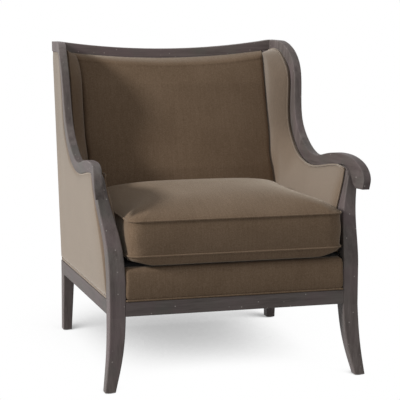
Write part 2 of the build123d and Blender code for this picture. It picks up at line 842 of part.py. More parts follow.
arm_stations = [(toe + pad_set_back, arm_height - arm_band - 2), *reversed(arm_low_edge[2:5])]
pad_line = [(spot, (spot[0], pad_foot), arm_swell, arm_pad_foot) for spot in arm_stations]
pad_line += [
    (arm_low_edge[1], (arm_low_edge[1][0] + 90, pad_foot), corner_swell, corner_pad_foot),
    (joint_low, deep_spot(pad_foot), joint_swell, joint_pad_foot),
    (wing_rear_edge[1], deep_spot(arm_height + 54), wing_swell, wing_pad_deep),
    (wing_rear_edge[2], deep_spot(overall_height - 165), wing_swell, wing_pad_deep),
    (wing_rear_edge[3], deep_spot(overall_height - 118), wing_swell, wing_pad_deep),
    (wing_rear_edge[4], deep_spot(overall_height - 94), 0.87 * wing_swell, 0.9 * wing_pad_deep),
    ((heel - wing_run + 18, overall_height - crest_band), deep_spot(overall_height - 82), crest_swell, crest_pad_deep),
]


def pad_section(edge, deep, swell, deep_thick):
    """Section of the inside pad from the wood's edge to its deep end."""
    run = Vector(0, deep[0] - edge[0], deep[1] - edge[1])
    way = run.normalized()
    plane = Plane((0, *edge), x_dir=(1, 0, 0), z_dir=Vector(1, 0, 0).cross(way))

    def inner(along, thick):
        spot = Vector(0, *edge) + way * along
        return (side_x(spot.Y, spot.Z) - board_thick - cloth_gap - thick, along)

    with BuildSketch(plane) as section:
        with BuildLine():
            bulge = ThreePointArc(
                inner(0, pad_edge), inner(run.length / 2, swell), inner(run.length, deep_thick)
            )
            Polyline(bulge @ 1, inner(run.length, 0), inner(0, 0), bulge @ 0)
        make_face()
    return section.sketch


with BuildPart() as inside_side_right:
    pad_sections = []
    for edge, deep, swell, deep_thick in pad_line:
        pad_sections.append(pad_section(edge_spot(edge, 0.7, -0.7), deep, swell, deep_thick))
    loft(pad_sections, ruled=True)
    add(inside_back.part, mode=Mode.SUBTRACT)
    add(front_leg_right.part, mode=Mode.SUBTRACT)

# Outside panel from the arm and wing down to the side rail, and its welt along the rail
panel_low = 2 * welt_radius + cloth_gap
with BuildPart() as outside_side_right:
    with BuildSketch(Plane.YZ):
        with BuildLine():
            low_edge = [edge_spot(p, 1, -1) for p in arm_low_edge[:6]]
            rear_edge = [edge_spot(p, 1, -1) for p in wing_rear_edge]
            under_arm = Spline(*low_edge, tangents=(joint_back, tip_slopes[1]), tangent_scalars=even)
            behind_wing = Spline(*rear_edge, tangents=(joint_slope, level), tangent_scalars=even)
            end_y = back_face(overall_height - crest_band) - back_panel_thick - cloth_gap
            foot_y = back_face(back_ledge) - back_panel_thick - cloth_gap
            Polyline(
                behind_wing @ 1,
                (end_y, overall_height - crest_band - cloth_gap),
                (foot_y, back_ledge + panel_low),
                (knee_back - leg_round, ledge + panel_low),
                under_arm @ 1,
            )
        make_face()
    extrude(amount=reach)
    loft(side_strip(panel_inset, panel_thick), ruled=True, mode=Mode.INTERSECT)
    add(front_leg_right.part, mode=Mode.SUBTRACT)
    add(show_bores, mode=Mode.SUBTRACT)
    add(rail_bores, mode=Mode.SUBTRACT)

welt_x = rail_half_width - panel_inset - welt_radius
welt_start = Vector(welt_x, knee_back + cloth_gap, ledge + welt_radius + cloth_gap / 4)
welt_end = Vector(welt_x, foot_y, back_ledge + welt_radius + cloth_gap / 4)
with BuildPart() as panel_welt_right:
    with BuildSketch(Plane(welt_start, z_dir=welt_end - welt_start)):
        Circle(welt_radius)
    extrude(amount=(welt_end - welt_start).length)

# Outside back, from the back rail's ledge to the crest
with BuildPart() as outside_back:
    with BuildSketch(Plane.YZ.offset(-reach)):
        with BuildLine():
            Polyline(
                (back_face(back_ledge), back_ledge + cloth_gap),
                (back_face(overall_height), overall_height),
                (back_face(overall_height) - back_panel_thick, overall_height),
                (back_face(back_ledge) - back_panel_thick, back_ledge + cloth_gap),
                close=True,
            )
        make_face()
    extrude(amount=2 * reach)
    with BuildSketch(Plane.XZ.offset(-reach)):
        with BuildLine():
            low_half = rail_half_width - panel_inset
            high_z = overall_height - crest_band - cloth_gap
            high_half = side_x(heel, high_z) - panel_inset
            Polyline(
                (-low_half, back_ledge),
                (low_half, back_ledge),
                (high_half, high_z),
                (-high_half, high_z),
                close=True,
            )
        make_face()
    extrude(amount=2 * reach, mode=Mode.INTERSECT)
    add(above_crest.part, mode=Mode.SUBTRACT)

# Dust cover tacked under the rails
sheet_front = rail_face + rail_thick / 2
sheet_back = back_rail_face - rail_thick / 2
sheet_half_width = rail_half_width - rail_thick / 2
with BuildPart() as dust_cover:
    with BuildSketch(Plane.YZ.offset(-sheet_half_width)):
        with BuildLine():
            front_z = rail_bottom - cloth_gap
            back_z = rail_bottom - rail_drop - cloth_gap
            Polyline(
                (sheet_front, front_z),
                (knee_back, front_z),
                (hock_front, back_z),
                (sheet_back, back_z),
                (sheet_back, back_z - sheet_thick),
                (hock_front, back_z - sheet_thick),
                (knee_back, front_z - sheet_thick),
                (sheet_front, front_z - sheet_thick),
                close=True,
            )
        make_face()
    extrude(amount=2 * sheet_half_width)
    for leg in (front_leg_right.part, rear_leg_right.part):
        add(leg, mode=Mode.SUBTRACT)
        add(mirror(leg, about=Plane.YZ, mode=Mode.PRIVATE), mode=Mode.SUBTRACT)

# Loose seat cushion: belly, boxing and crown meet at the welts
cushion_mid = toe + (cushion_front + cushion_back) / 2
half_depth = (cushion_back - cushion_front) / 2


def cushion_section(z, inset):
    """Level section of the cushion, drawn in from the welt line by inset."""
    with BuildSketch(Plane.XY.offset(z)) as section:
        with Locations((0, cushion_mid)):
            RectangleRounded(
                2 * (cushion_half_width - inset),
                2 * (half_depth - inset),
                cushion_corner + 0.25 * inset,
            )
    return section.sketch


def cushion_stack(skin):
    """Sections of the cushion's three panels, all drawn in by a skin thickness."""
    low, high = cushion_low_welt, cushion_high_welt
    belly = [(cushion_belly, 80), (cushion_belly + 5, 44), (cushion_belly + 14, 15), (low, 0)]
    boxing = [(low, 0), ((low + high) / 2, cushion_draw), (high, 0)]
    rise = cushion_crown - high
    crown = [(high, 0), (high + 0.45 * rise, 24), (high + 0.78 * rise, 70),
             (high + 0.95 * rise, 130), (cushion_crown, 190)]
    mid = (low + high) / 2
    stack = []
    for panel in (belly, boxing, crown):
        sections = []
        for z, inset in panel:
            lift = skin if z < mid else -skin
            sections.append(cushion_section(z + (0 if z == mid else lift), inset + skin))
        stack.append(sections)
    return stack


with BuildPart() as cushion_core:
    for panel in cushion_stack(cover_thick):
        loft(panel)

welt_half_front = cushion_half_width - cushion_corner
welt_side = 2 * (half_depth - cushion_corner)
welt_runs = (welt_half_front, welt_side, 2 * welt_half_front, welt_side, welt_half_front)
cushion_welts = {}
for label, z in (("top", cushion_high_welt), ("bottom", cushion_low_welt)):
    with BuildPart() as welt:
        with BuildLine(Plane.XY.offset(z)):
            tip = (0, cushion_mid - half_depth)
            for corner, run in enumerate(welt_runs):
                straight = PolarLine(tip, run, 90 * corner)
                tip = straight @ 1
                if corner < 4:
                    bend = JernArc(tip, straight % 1, cushion_corner, 90)
                    tip = bend @ 1
        with BuildSketch(Plane((0, cushion_mid - half_depth, z), z_dir=(1, 0, 0))):
            Circle(welt_radius)
        sweep()
    cushion_welts[label] = welt

zipper_face = cushion_mid + half_depth - cushion_draw
zipper_z = (cushion_low_welt + cushion_high_welt) / 2
with BuildPart() as cushion_zipper:
    with BuildSketch(Plane.XY.offset(zipper_z - zipper_height / 2)):
        with Locations((0, zipper_face - zipper_thick / 2)):
            Rectangle(zipper_length, zipper_thick)
    extrude(amount=zipper_height)

with BuildPart() as cushion_cover:
    for panel in cushion_stack(0):
        loft(panel)
    add(cushion_core.part, mode=Mode.SUBTRACT)
    for welt in cushion_welts.values():
        add(welt.part, mode=Mode.SUBTRACT)
    with BuildSketch(Plane.XY.offset(zipper_z - zipper_height / 2)):
        with Locations((0, zipper_face - zipper_thick / 2 + cushion_draw)):
            Rectangle(zipper_length, zipper_thick + 2 * cushion_draw)
    extrude(amount=zipper_height, mode=Mode.SUBTRACT)

# Left-hand pieces mirror the right-hand ones
pieces = {
    "crest_rail": crest_rail.part,
    "front_rail": front_rail.part,
    "back_rail": back_rail.part,
    "back_tack_rail": back_tack_rail.part,
    "rail_dowels": rail_pins.part,
    "show_dowels": show_pins.part,
    "corner_screws": block_screws.part,
    "foot_glides": foot_glides.part,
    "seat_springs": seat_springs.part,
    "spring_clips": spring_clips.part,
    "back_webbing": back_webbing.part,
    "seat_deck": seat_deck.part,
    "front_border": front_border.part,
    "border_welt": border_welt.part,
    "inside_back": inside_back.part,
    "outside_back": outside_back.part,
    "dust_cover": dust_cover.part,
    "cushion_cover": cushion_cover.part,
    "cushion_core": cushion_core.part,
    "cushion_welt_top": cushion_welts["top"].part,
    "cushion_welt_bottom": cushion_welts["bottom"].part,
    "cushion_zipper": cushion_zipper.part,
}
paired = {
    "arm": arm_right.part,
    "wing": wing_right.part,
    "front_leg": front_leg_right.part,
    "rear_leg": rear_leg_right.part,
    "corner_blocks": blocks_right.part,
    "side_rail": side_rail_right.part,
    "arm_tack_rail": arm_tack_rail_right.part,
    "inside_side": inside_side_right.part,
    "outside_side": outside_side_right.part,
    "panel_welt": panel_welt_right.part,
}
for name, part in paired.items():
    pieces[f"{name}_right"] = part
    pieces[f"{name}_left"] = mirror(part, about=Plane.YZ)

for name, part in pieces.items():
    part.label = name
    export_step(part, f"parts/{name}.step")
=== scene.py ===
import bpy
import math
import numpy as np
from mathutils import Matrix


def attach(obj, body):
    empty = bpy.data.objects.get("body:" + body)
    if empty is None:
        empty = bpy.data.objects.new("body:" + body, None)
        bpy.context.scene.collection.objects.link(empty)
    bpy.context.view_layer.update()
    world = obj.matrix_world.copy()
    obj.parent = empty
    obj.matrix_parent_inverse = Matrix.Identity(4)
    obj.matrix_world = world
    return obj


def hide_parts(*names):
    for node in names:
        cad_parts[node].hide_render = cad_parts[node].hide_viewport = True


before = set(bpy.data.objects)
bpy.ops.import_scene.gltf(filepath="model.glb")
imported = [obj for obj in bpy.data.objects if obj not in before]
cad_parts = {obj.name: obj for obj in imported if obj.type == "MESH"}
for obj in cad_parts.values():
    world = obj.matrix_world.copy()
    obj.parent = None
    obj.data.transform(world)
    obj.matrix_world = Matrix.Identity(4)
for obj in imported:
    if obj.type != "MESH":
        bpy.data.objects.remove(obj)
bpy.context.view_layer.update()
print("frame loaded:", len(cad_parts), "nodes")

# the chair's own lines, in metres, as the woodwork has them
toe = -0.4225           # front of the front feet
heel = 0.4225           # back of the crest
ledge = 0.251           # top of the bare seat rail
height = 0.940
boardThick = 0.024
clothGap = 0.0004       # between a pad and the wood behind it
crestUnder = 0.908      # underside of the crest at its ends


def lengthAlong(path):
    # running length along a line of points, from 0
    return np.concatenate([[0.0], np.cumsum(np.linalg.norm(np.diff(path, axis=0), axis=1))])


def atDepth(points):
    # depth from the toe line and height, in mm, to y and z in metres
    p = np.array(points, float) / 1000.0
    p[:, 0] += toe
    return p


def splineThrough(points, startWay, endWay, count=240):
    # cubic through the points, chord-length steps, end tangents of length one
    p = np.array(points, float)
    t = lengthAlong(p)
    h = np.diff(t)
    n = len(p)
    a = np.zeros((n, n))
    b = np.zeros_like(p)
    a[0, 0] = a[-1, -1] = 1.0
    b[0] = np.array(startWay) / np.linalg.norm(startWay)
    b[-1] = np.array(endWay) / np.linalg.norm(endWay)
    k = np.arange(1, n - 1)
    a[k, k - 1] = h[1:]
    a[k, k] = 2.0 * (h[:-1] + h[1:])
    a[k, k + 1] = h[:-1]
    slope = np.diff(p, axis=0) / h[:, None]
    b[1:-1] = 3.0 * (h[1:, None] * slope[:-1] + h[:-1, None] * slope[1:])
    m = np.linalg.solve(a, b)
    s = np.linspace(0.0, t[-1], count)
    i = np.clip(np.searchsorted(t, s, side="right") - 1, 0, n - 2)
    w = ((s - t[i]) / h[i])[:, None]
    hh = h[i][:, None]
    return ((2 * w**3 - 3 * w**2 + 1) * p[i] + (w**3 - 2 * w**2 + w) * hh * m[i]
            + (3 * w**2 - 2 * w**3) * p[i + 1] + (w**3 - w**2) * hh * m[i + 1])


def evenly(path, count):
    # the same line with its points an even length apart
    d = lengthAlong(path)
    s = np.linspace(0.0, d[-1], count)
    return np.stack([np.interp(s, d, path[:, c]) for c in range(path.shape[1])], axis=1)


def smoothStep(x):
    # 0 to 1 with level ends
    x = np.clip(x, 0.0, 1.0)
    return x * x * (3.0 - 2.0 * x)


def quarterRound(distance, radius):
    # height of a quarter circle, 0 at the edge and 1 past the radius
    return np.sqrt(np.maximum(1.0 - (1.0 - np.clip(distance / radius, 0.0, 1.0)) ** 2, 0.0))


# half width at the rails in metres, depths from the toe line and leans at full height in mm
sideBoard = dict(railHalf=0.364, postBack=127.0, wingBack=600.0, cornerBack=740.0,
                 leanAtPost=49.0, lessAtWing=20.0, lessAtCorner=10.0, moreAtToe=32.0, toeRun=101.0)
# the rest in metres, depths from the toe line
armPost = dict(levels=[0.31, 0.375, 0.441, 0.50, 0.552, 0.603],
               inner=[0.3185, 0.3214, 0.3292, 0.3423, 0.353, 0.3595],
               rear=[0.068, 0.0787, 0.1057, 0.1295, 0.1394, 0.150])
crestLine = dict(dip=0.026, half=0.357)
rearLine = dict(low=0.231, depth=0.800, lean=0.045, rise=0.709)
webLine = dict(low=0.3536, depth=0.7492, lean=0.0863)


def sideX(y, z):
    # half width of the side boards' outer faces: rails plus a lean that grows with height
    k = sideBoard
    d = (np.asarray(y) - toe) * 1000.0
    along = (np.minimum(d, k["cornerBack"]) - k["postBack"]) / (k["wingBack"] - k["postBack"])
    turnIn = smoothStep((d - k["wingBack"]) / (k["cornerBack"] - k["wingBack"]))
    lean = k["leanAtPost"] - k["lessAtWing"] * along - k["lessAtCorner"] * turnIn
    lean = lean + k["moreAtToe"] * (np.maximum(k["postBack"] - d, 0.0) / k["toeRun"]) ** 2
    return k["railHalf"] + 0.001 * lean * (np.asarray(z) - ledge) / (height - ledge)


def postInner(z):
    # inner face of the arm post at each height
    return np.interp(z, armPost["levels"], armPost["inner"])


def postRear(z):
    # rear face of the arm post at each height
    return toe + np.interp(z, armPost["levels"], armPost["rear"])


def crestDrop(x):
    # how far the crest has dipped below its ends: a parabola
    return crestLine["dip"] * (1.0 - np.minimum(np.abs(x) / crestLine["half"], 1.0) ** 2)


def rearFace(z):
    # back of the chair, leaning out evenly from the back rail to the crest
    return toe + rearLine["depth"] + rearLine["lean"] * (z - rearLine["low"]) / rearLine["rise"]


def webFace(z):
    # front of the back webbing, upright at its foot and then leaning back
    return toe + webLine["depth"] + webLine["lean"] * (np.maximum(z, webLine["low"]) - webLine["low"])


# lower edge of the arm from wing to scroll, and rear edge of the wing from arm to crest
armLow = splineThrough(
    atDepth([(524, 598), (470, 576.6), (395, 567.5), (250, 585), (160, 594), (101, 580), (77, 548),
             (61, 537)]),
    (-0.84, -0.54), (-0.8, -0.6))
wingRear = splineThrough(
    atDepth([(524, 598), (606, 680), (621, 770), (634, 842), (666, 876), (745, 908)]),
    (0.84, 0.54), (1.0, 0.0))


# meshes from whole arrays
def meshFrom(name, verts, faces):
    mesh = bpy.data.meshes.new(name)
    mesh.from_pydata(verts.reshape(-1, 3).tolist(), [], faces)
    mesh.validate()
    mesh.shade_smooth()
    mesh.update()
    return linked(name, mesh)


def linked(name, data):
    # an object of this name in the scene
    obj = bpy.data.objects.new(name, data)
    bpy.context.scene.collection.objects.link(obj)
    return obj


def coordsOf(mesh):
    # the mesh's points as rows of x, y and z
    co = np.zeros(len(mesh.vertices) * 3)
    mesh.vertices.foreach_get("co", co)
    return co.reshape(-1, 3)


def gridFaces(rows, cols, start=0, wrap=False, flip=False):
    # quads of a rows by cols grid of points, columns joined round if wrapped
    r = np.arange(rows - 1)[:, None] * cols
    c = np.arange(cols if wrap else cols - 1)[None, :]
    n = (c + 1) % cols
    q = np.stack([r + c, r + n, r + cols + n, r + cols + c], axis=-1).reshape(-1, 4) + start
    return q[:, ::-1] if flip else q


def ringFaces(rows, cols):
    # quads round a stack of rings, with the first and the last ring filled
    ends = [list(range(cols - 1, -1, -1)), list(range((rows - 1) * cols, rows * cols))]
    return gridFaces(rows, cols, wrap=True).tolist() + ends


def padMesh(name, front, back, flip=False):
    # closed pad: a front grid, a back grid of the same size, and a strip round their edges
    rows, cols = front.shape[:2]
    verts = np.concatenate([front.reshape(-1, 3), back.reshape(-1, 3)])
    n = rows * cols
    f = gridFaces(rows, cols, 0, flip=flip)
    b = gridFaces(rows, cols, n, flip=not flip)
    rim = np.concatenate([np.arange(cols), np.arange(1, rows) * cols + cols - 1,
                          (rows - 1) * cols + np.arange(cols - 2, -1, -1), np.arange(rows - 2, 0, -1) * cols])
    nxt = np.roll(rim, -1)
    strip = np.stack([rim, rim + n, nxt + n, nxt], axis=1)
    strip = strip[:, ::-1] if flip else strip
    return meshFrom(name, verts, np.concatenate([f, b, strip]).tolist())


def tubeMesh(name, path, radius, sides=12, closed=False):
    # round cord along a path: a circle in the plane across the path at every point
    p = np.asarray(path, float)
    if closed:
        tangent = np.roll(p, -1, axis=0) - np.roll(p, 1, axis=0)
    else:
        tangent = np.gradient(p, axis=0)
    tangent /= np.linalg.norm(tangent, axis=1)[:, None]
    up = np.where(np.abs(tangent[:, 2:3]) > 0.95, [[1.0, 0.0, 0.0]], [[0.0, 0.0, 1.0]])
    side = np.cross(tangent, up)
    side /= np.linalg.norm(side, axis=1)[:, None]
    top = np.cross(side, tangent)
    a = np.linspace(0.0, 2.0 * np.pi, sides, endpoint=False)[None, :, None]
    across = radius * np.cos(a) * side[:, None, :]
    ring = p[:, None, :] + across + radius * np.sin(a) * top[:, None, :]
    n = len(p)
    faces = gridFaces(n, sides, wrap=True, flip=True).tolist()
    if closed:
        j = np.arange(sides)
        k = (j + 1) % sides
        faces += np.stack([(n - 1) * sides + j, j, k, (n - 1) * sides + k], axis=1).tolist()
    else:
        faces += [list(range(sides)), list(range(n * sides - 1, (n - 1) * sides - 1, -1))]
    return meshFrom(name, ring, faces)


def mirrored(name, obj):
    # the same piece on the other side of the chair
    mesh = obj.data.copy()
    mesh.name = name
    co = coordsOf(mesh)
    co[:, 0] *= -1.0
    mesh.vertices.foreach_set("co", co.ravel())
    mesh.flip_normals()
    mesh.update()
    return linked(name, mesh)


stuffing = dict(voxel=0.006, pressure=9.0, cap=0.026, steps=20, stiff=6.0, shear=0.5, bend=0.6, mass=0.25,
                quality=4)


def plump(obj, hold):
    # stuffing: remesh, blow up under pressure with held points, limit how far each point goes
    k = stuffing
    bpy.context.view_layer.objects.active = obj
    obj.select_set(True)
    remesh = obj.modifiers.new("remesh", "REMESH")
    remesh.mode = "VOXEL"
    remesh.voxel_size = k["voxel"]
    bpy.ops.object.modifier_apply(modifier="remesh")
    rest = coordsOf(obj.data)
    weights = np.round(np.clip(hold(rest), 0.0, 1.0), 1)
    group = obj.vertex_groups.new(name="held")
    for level in np.unique(weights):
        group.add(np.nonzero(weights == level)[0].tolist(), float(level), "REPLACE")
    cloth = obj.modifiers.new("cloth", "CLOTH")
    s = cloth.settings
    s.quality = k["quality"]
    s.mass = k["mass"]
    s.tension_stiffness = s.compression_stiffness = k["stiff"]
    s.shear_stiffness = k["stiff"] * k["shear"]
    s.bending_stiffness = k["bend"]
    s.vertex_group_mass = "held"
    s.use_pressure = True
    s.uniform_pressure_force = k["pressure"]
    s.effector_weights.gravity = 0.0
    cloth.collision_settings.use_collision = False
    for step in range(1, k["steps"] + 1):
        bpy.context.scene.frame_set(step)
    shaped = obj.evaluated_get(bpy.context.evaluated_depsgraph_get()).to_mesh()
    moved = coordsOf(shaped) - rest
    obj.modifiers.remove(cloth)
    bpy.context.scene.frame_set(1)
    far = np.linalg.norm(moved, axis=1)[:, None]
    moved *= np.minimum(1.0, k["cap"] / np.maximum(far, 1e-9))
    obj.data.vertices.foreach_set("co", (rest + moved).ravel())
    obj.data.shade_smooth()
    obj.data.update()
    obj.select_set(False)
    print("plumped", obj.name, len(rest), "points, moved up to", round(float(far.max()) * 1000, 1), "mm")


# shader maths: a socket with operators, so that 1 - mask adds a Math node
class Value:
    def __init__(self, finish, socket):
        self.finish = finish
        self.socket = socket

    def math(self, operation, first, second=0.5, clamp=False):
        return self.finish.node("ShaderNodeMath", {"operation": operation, "use_clamp": clamp},
                                {0: first, 1: second})

    def __add__(self, other):
        return self.math("ADD", self, other)

    def __radd__(self, other):
        return self.math("ADD", other, self)

    def __sub__(self, other):
        return self.math("SUBTRACT", self, other)

    def __rsub__(self, other):
        return self.math("SUBTRACT", other, self)

    def __mul__(self, other):
        return self.math("MULTIPLY", self, other)

    def __rmul__(self, other):
        return self.math("MULTIPLY", other, self)

    def sin(self):
        return self.math("SINE", self)

    def above(self, edge):
        return self.math("GREATER_THAN", self, edge)

    def clamp(self):
        return self.math("ADD", self, 0.0, True)


# nodes of a material or a world, round its own shader
class Finish:
    def __init__(self, owner, shader="Principled BSDF", **fixed):
        owner.use_nodes = True
        self.tree = owner.node_tree
        self.shader = self.tree.nodes[shader]
        for socket, value in fixed.items():
            self.shader.inputs[socket.replace("_", " ")].default_value = value

    def node(self, kind, settings=None, inputs=None, out=0):
        n = self.tree.nodes.new(kind)
        for key, value in (settings or {}).items():
            if key == "stops":
                ramp = n.color_ramp
                while len(ramp.elements) < len(value):
                    ramp.elements.new(0.5)
                for element, (place, colour) in zip(ramp.elements, value):
                    element.position = place
                    element.color = (*colour, 1.0)
            else:
                setattr(n, key, value)
        for key, value in (inputs or {}).items():
            if isinstance(value, Value):
                self.tree.links.new(value.socket, n.inputs[key])
            else:
                n.inputs[key].default_value = value
        return Value(self, n.outputs[out])

    def where(self):
        # Object coordinates
        return self.node("ShaderNodeTexCoord", out=3)

    def place(self, scale=(1.0, 1.0, 1.0)):
        return self.node("ShaderNodeMapping", None, {"Vector": self.where(), "Scale": scale})

    def axes(self):
        split = self.node("ShaderNodeSeparateXYZ", None, {0: self.where()}).socket.node
        return [Value(self, split.outputs[i]) for i in range(3)]

    def noise(self, scale, detail, rough):
        return self.node("ShaderNodeTexNoise", None,
                         {"Vector": self.place(scale), "Scale": 1.0, "Detail": detail, "Roughness": rough})

    def ramp(self, value, stops):
        return self.node("ShaderNodeValToRGB", {"stops": stops}, {0: value})

    def mix(self, factor, first, second, blend="MIX"):
        paint = [(*c, 1.0) if isinstance(c, tuple) else c for c in (first, second)]
        return self.node("ShaderNodeMix", {"data_type": "RGBA", "blend_type": blend},
                         {0: factor, 6: paint[0], 7: paint[1]}, out=2)

    def feed(self, socket, value):
        self.tree.links.new(value.socket, self.shader.inputs[socket])

    def bump(self, heightValue, strength, distance):
        self.feed("Normal", self.node("ShaderNodeBump", None,
                                      {"Strength": strength, "Distance": distance, "Height": heightValue}))

    def show(self, other, output):
        # what the camera, gloss and glass see in place of the shader that lights the chair
        ray = self.node("ShaderNodeLightPath")
        outs = ray.socket.node.outputs
        ray = (ray + Value(self, outs["Is Glossy Ray"]) + Value(self, outs["Is Transmission Ray"])).clamp()
        own = Value(self, self.shader.outputs[0])
        pick = self.node("ShaderNodeMixShader", None, {0: ray, 1: own, 2: other})
        self.tree.links.new(pick.socket, self.tree.nodes[output].inputs[0])


def stretched(axis, others, along):
    # pattern scale with its own value on one axis
    scale = [others] * 3
    scale[axis] = along
    return tuple(scale)


# colours, then pattern scales per metre (across the grain, along it), knocks and arrises
woodLook = dict(
    dark=(0.087, 0.072, 0.070), mid=(0.152, 0.129, 0.123), light=(0.217, 0.189, 0.183),
    plum=(0.189, 0.142, 0.151), moss=(0.139, 0.138, 0.125), arrisWearHighlightColour=(0.362, 0.326, 0.312),
    speck=(0.696, 0.652, 0.623),
    streak=(70.0, 5.0), pore=(420.0, 22.0), cloud=(9.0, 9.0, 9.0), tint=(14.0, 13.0, 12.0),
    streakShare=0.65, poreShare=0.35, plumFrom=0.45, plumGain=2.2, mossFrom=0.52, mossGain=2.4,
    knockCells=62.0, knockSize=7.2, knockRare=0.48, knockPale=0.9, arris=0.0028, arrisGain=4.0,
    arrisWearHighlight=0.30, gloss=0.18, smooth=0.42, dull=0.25, bump=0.25, bumpDeep=0.0006)


def woodFinish(name, grainAxis, depth):
    # weathered stain: long streaks along the grain, plum and moss clouds, pale knocks, arrises paled partly
    # by wear and partly by a painted highlight
    look = woodLook
    material = bpy.data.materials.new(name)
    f = Finish(material, Specular_IOR_Level=look["gloss"])
    streak = f.noise(stretched(grainAxis, *look["streak"]), 5.0, 0.6)
    pore = f.noise(stretched(grainAxis, *look["pore"]), 3.0, 0.6)
    cloud = f.noise(look["cloud"], 2.0, 0.5)
    tint = f.noise(look["tint"], 2.0, 0.5)
    grain = streak * look["streakShare"] + pore * look["poreShare"]
    colour = f.ramp(grain, [(0.32, look["dark"]), (0.5, look["mid"]), (0.7, look["light"])])
    colour = f.mix(((cloud - look["plumFrom"]) * look["plumGain"]).clamp(), colour, look["plum"])
    colour = f.mix(((tint - look["mossFrom"]) * look["mossGain"]).clamp(), colour, look["moss"])
    # painted light and shade: the whole stain made darker or lighter for this part
    colour = f.mix(1.0, colour, (depth, depth, depth), "MULTIPLY")
    # knocks: the middles of some cells
    cell = f.node("ShaderNodeTexVoronoi", {"feature": "F1"},
                  {"Vector": f.place(), "Scale": look["knockCells"]})
    pick = f.node("ShaderNodeSeparateColor", None, {0: Value(f, cell.socket.node.outputs[1])})
    knock = (1.0 - cell * look["knockSize"]).clamp() * pick.above(look["knockRare"])
    colour = f.mix((knock * look["knockPale"]).clamp(), colour, look["speck"])
    # arrises: where the rounded normal leaves the face's own, a pale colour that is part wear and part
    # painted highlight on the eased edges
    soft = f.node("ShaderNodeBevel", {"samples": 4}, {"Radius": look["arris"]})
    face = f.node("ShaderNodeNewGeometry", out=1)
    agree = f.node("ShaderNodeVectorMath", {"operation": "DOT_PRODUCT"}, {0: soft, 1: face}, out=1)
    arrisWearHighlight = ((1.0 - agree) * look["arrisGain"]).clamp() * (0.25 + streak * 0.9)
    colour = f.mix((arrisWearHighlight * look["arrisWearHighlight"]).clamp(), colour, look["arrisWearHighlightColour"])
    f.feed("Base Color", colour)
    f.feed("Roughness", look["smooth"] + grain * look["dull"])
    f.bump(grain * 0.6 - knock * 0.8, look["bump"], look["bumpDeep"])
    return material


# colours, thread sizes in metres, pattern scales per metre, share of each pattern in the tone
clothLook = dict(
    base=(0.209, 0.145, 0.096), dark=(0.165, 0.111, 0.072), pale=(0.260, 0.184, 0.127),
    pitch=0.0011, slub=0.0016, slubRun=24.0, band=160.0, bandRun=7.0, fleck=1100.0, melange=300.0, cloud=9.0,
    slubShare=0.17, bandShare=0.09, fleckShare=0.14, melangeShare=0.44, cloudShare=0.16,
    shadeHighFrom=0.52, shadeHighTo=0.68, rough=0.9, gloss=0.06, bump=0.35, bumpDeep=0.0005)


def clothFinish(name, across, nap, napRough, napTint, highShadeTone):
    # plush weave: slubs run up the cloth, melange flecks, a nap that pales where it is seen edge on, and
    # painted shade high on the chair
    look = clothLook
    material = bpy.data.materials.new(name)
    f = Finish(material, Roughness=look["rough"], Sheen_Weight=nap, Sheen_Roughness=napRough,
               Sheen_Tint=(*napTint, 1.0), Specular_IOR_Level=look["gloss"])
    slub = f.noise(stretched(across, look["slubRun"], 1.0 / look["slub"]), 2.0, 0.6)
    band = f.noise(stretched(across, look["bandRun"], look["band"]), 2.0, 0.5)
    fleck = f.noise((look["fleck"],) * 3, 1.0, 0.5)
    melange = f.noise((look["melange"],) * 3, 2.0, 0.6)
    cloud = f.noise((look["cloud"],) * 3, 2.0, 0.5)
    tone = (slub * look["slubShare"] + band * look["bandShare"] + fleck * look["fleckShare"]
            + melange * look["melangeShare"] + cloud * look["cloudShare"])
    colour = f.ramp(tone, [(0.38, look["dark"]), (0.5, look["base"]), (0.63, look["pale"])])
    # painted shade: the base colour darkens with height on the chair, standing in for the cloth looking
    # darker up there
    axis = f.axes()
    paintedShadeHigh = f.ramp(axis[2], [(look["shadeHighFrom"], (1.0, 1.0, 1.0)), (look["shadeHighTo"], (highShadeTone,) * 3)])
    f.feed("Base Color", f.mix(1.0, colour, paintedShadeHigh, "MULTIPLY"))
    turn = 2.0 * math.pi / look["pitch"]
    weave = (axis[across] * turn).sin() * ((axis[2] + axis[1 - across]) * turn).sin()
    f.bump(weave * 0.25 + slub * 0.7 + fleck * 0.5, look["bump"], look["bumpDeep"])
    return material


def plainFinish(name, first, second, scale, rough, metal=0.0):
    # two tones on a noise, with a matching bump
    material = bpy.data.materials.new(name)
    f = Finish(material, Metallic=metal)
    n = f.noise(scale, 3.0, 0.6)
    f.feed("Base Color", f.ramp(n, [(0.35, first), (0.65, second)]))
    f.feed("Roughness", rough + n * 0.2)
    f.bump(n, 0.3, 0.0003)
    return material


# stain: axis of the grain, and a tone per part that darkens or lightens the one stain to match how bright the
# part looks in this light: painted light and shade
woodUp = woodFinish("stainUpright", 2, 1.0)
woodCrest = woodFinish("stainCrest", 0, 1.17)
woodFront = woodFinish("stainFront", 0, 0.85)
woodAlong = woodFinish("stainAlong", 1, 0.82)
# plush: axis across the cloth, nap and its roughness, its tint, and the painted shade high on the chair
clothFront = clothFinish("plushFront", 0, 0.52, 0.32, (0.95, 0.87, 0.76), 1.0)
clothSeat = clothFinish("plushSeat", 0, 0.40, 0.42, (0.95, 0.87, 0.76), 1.0)
clothSide = clothFinish("plushSide", 1, 1.0, 0.63, (0.95, 0.873, 0.79), 0.66)
# painted shade: a copy of the plush with less sheen, only for the left pad and its welt, which sit in shade
clothShadedCopy = clothFinish("plushShadedCopy", 1, 0.30, 0.45, (0.95, 0.885, 0.81), 0.9)
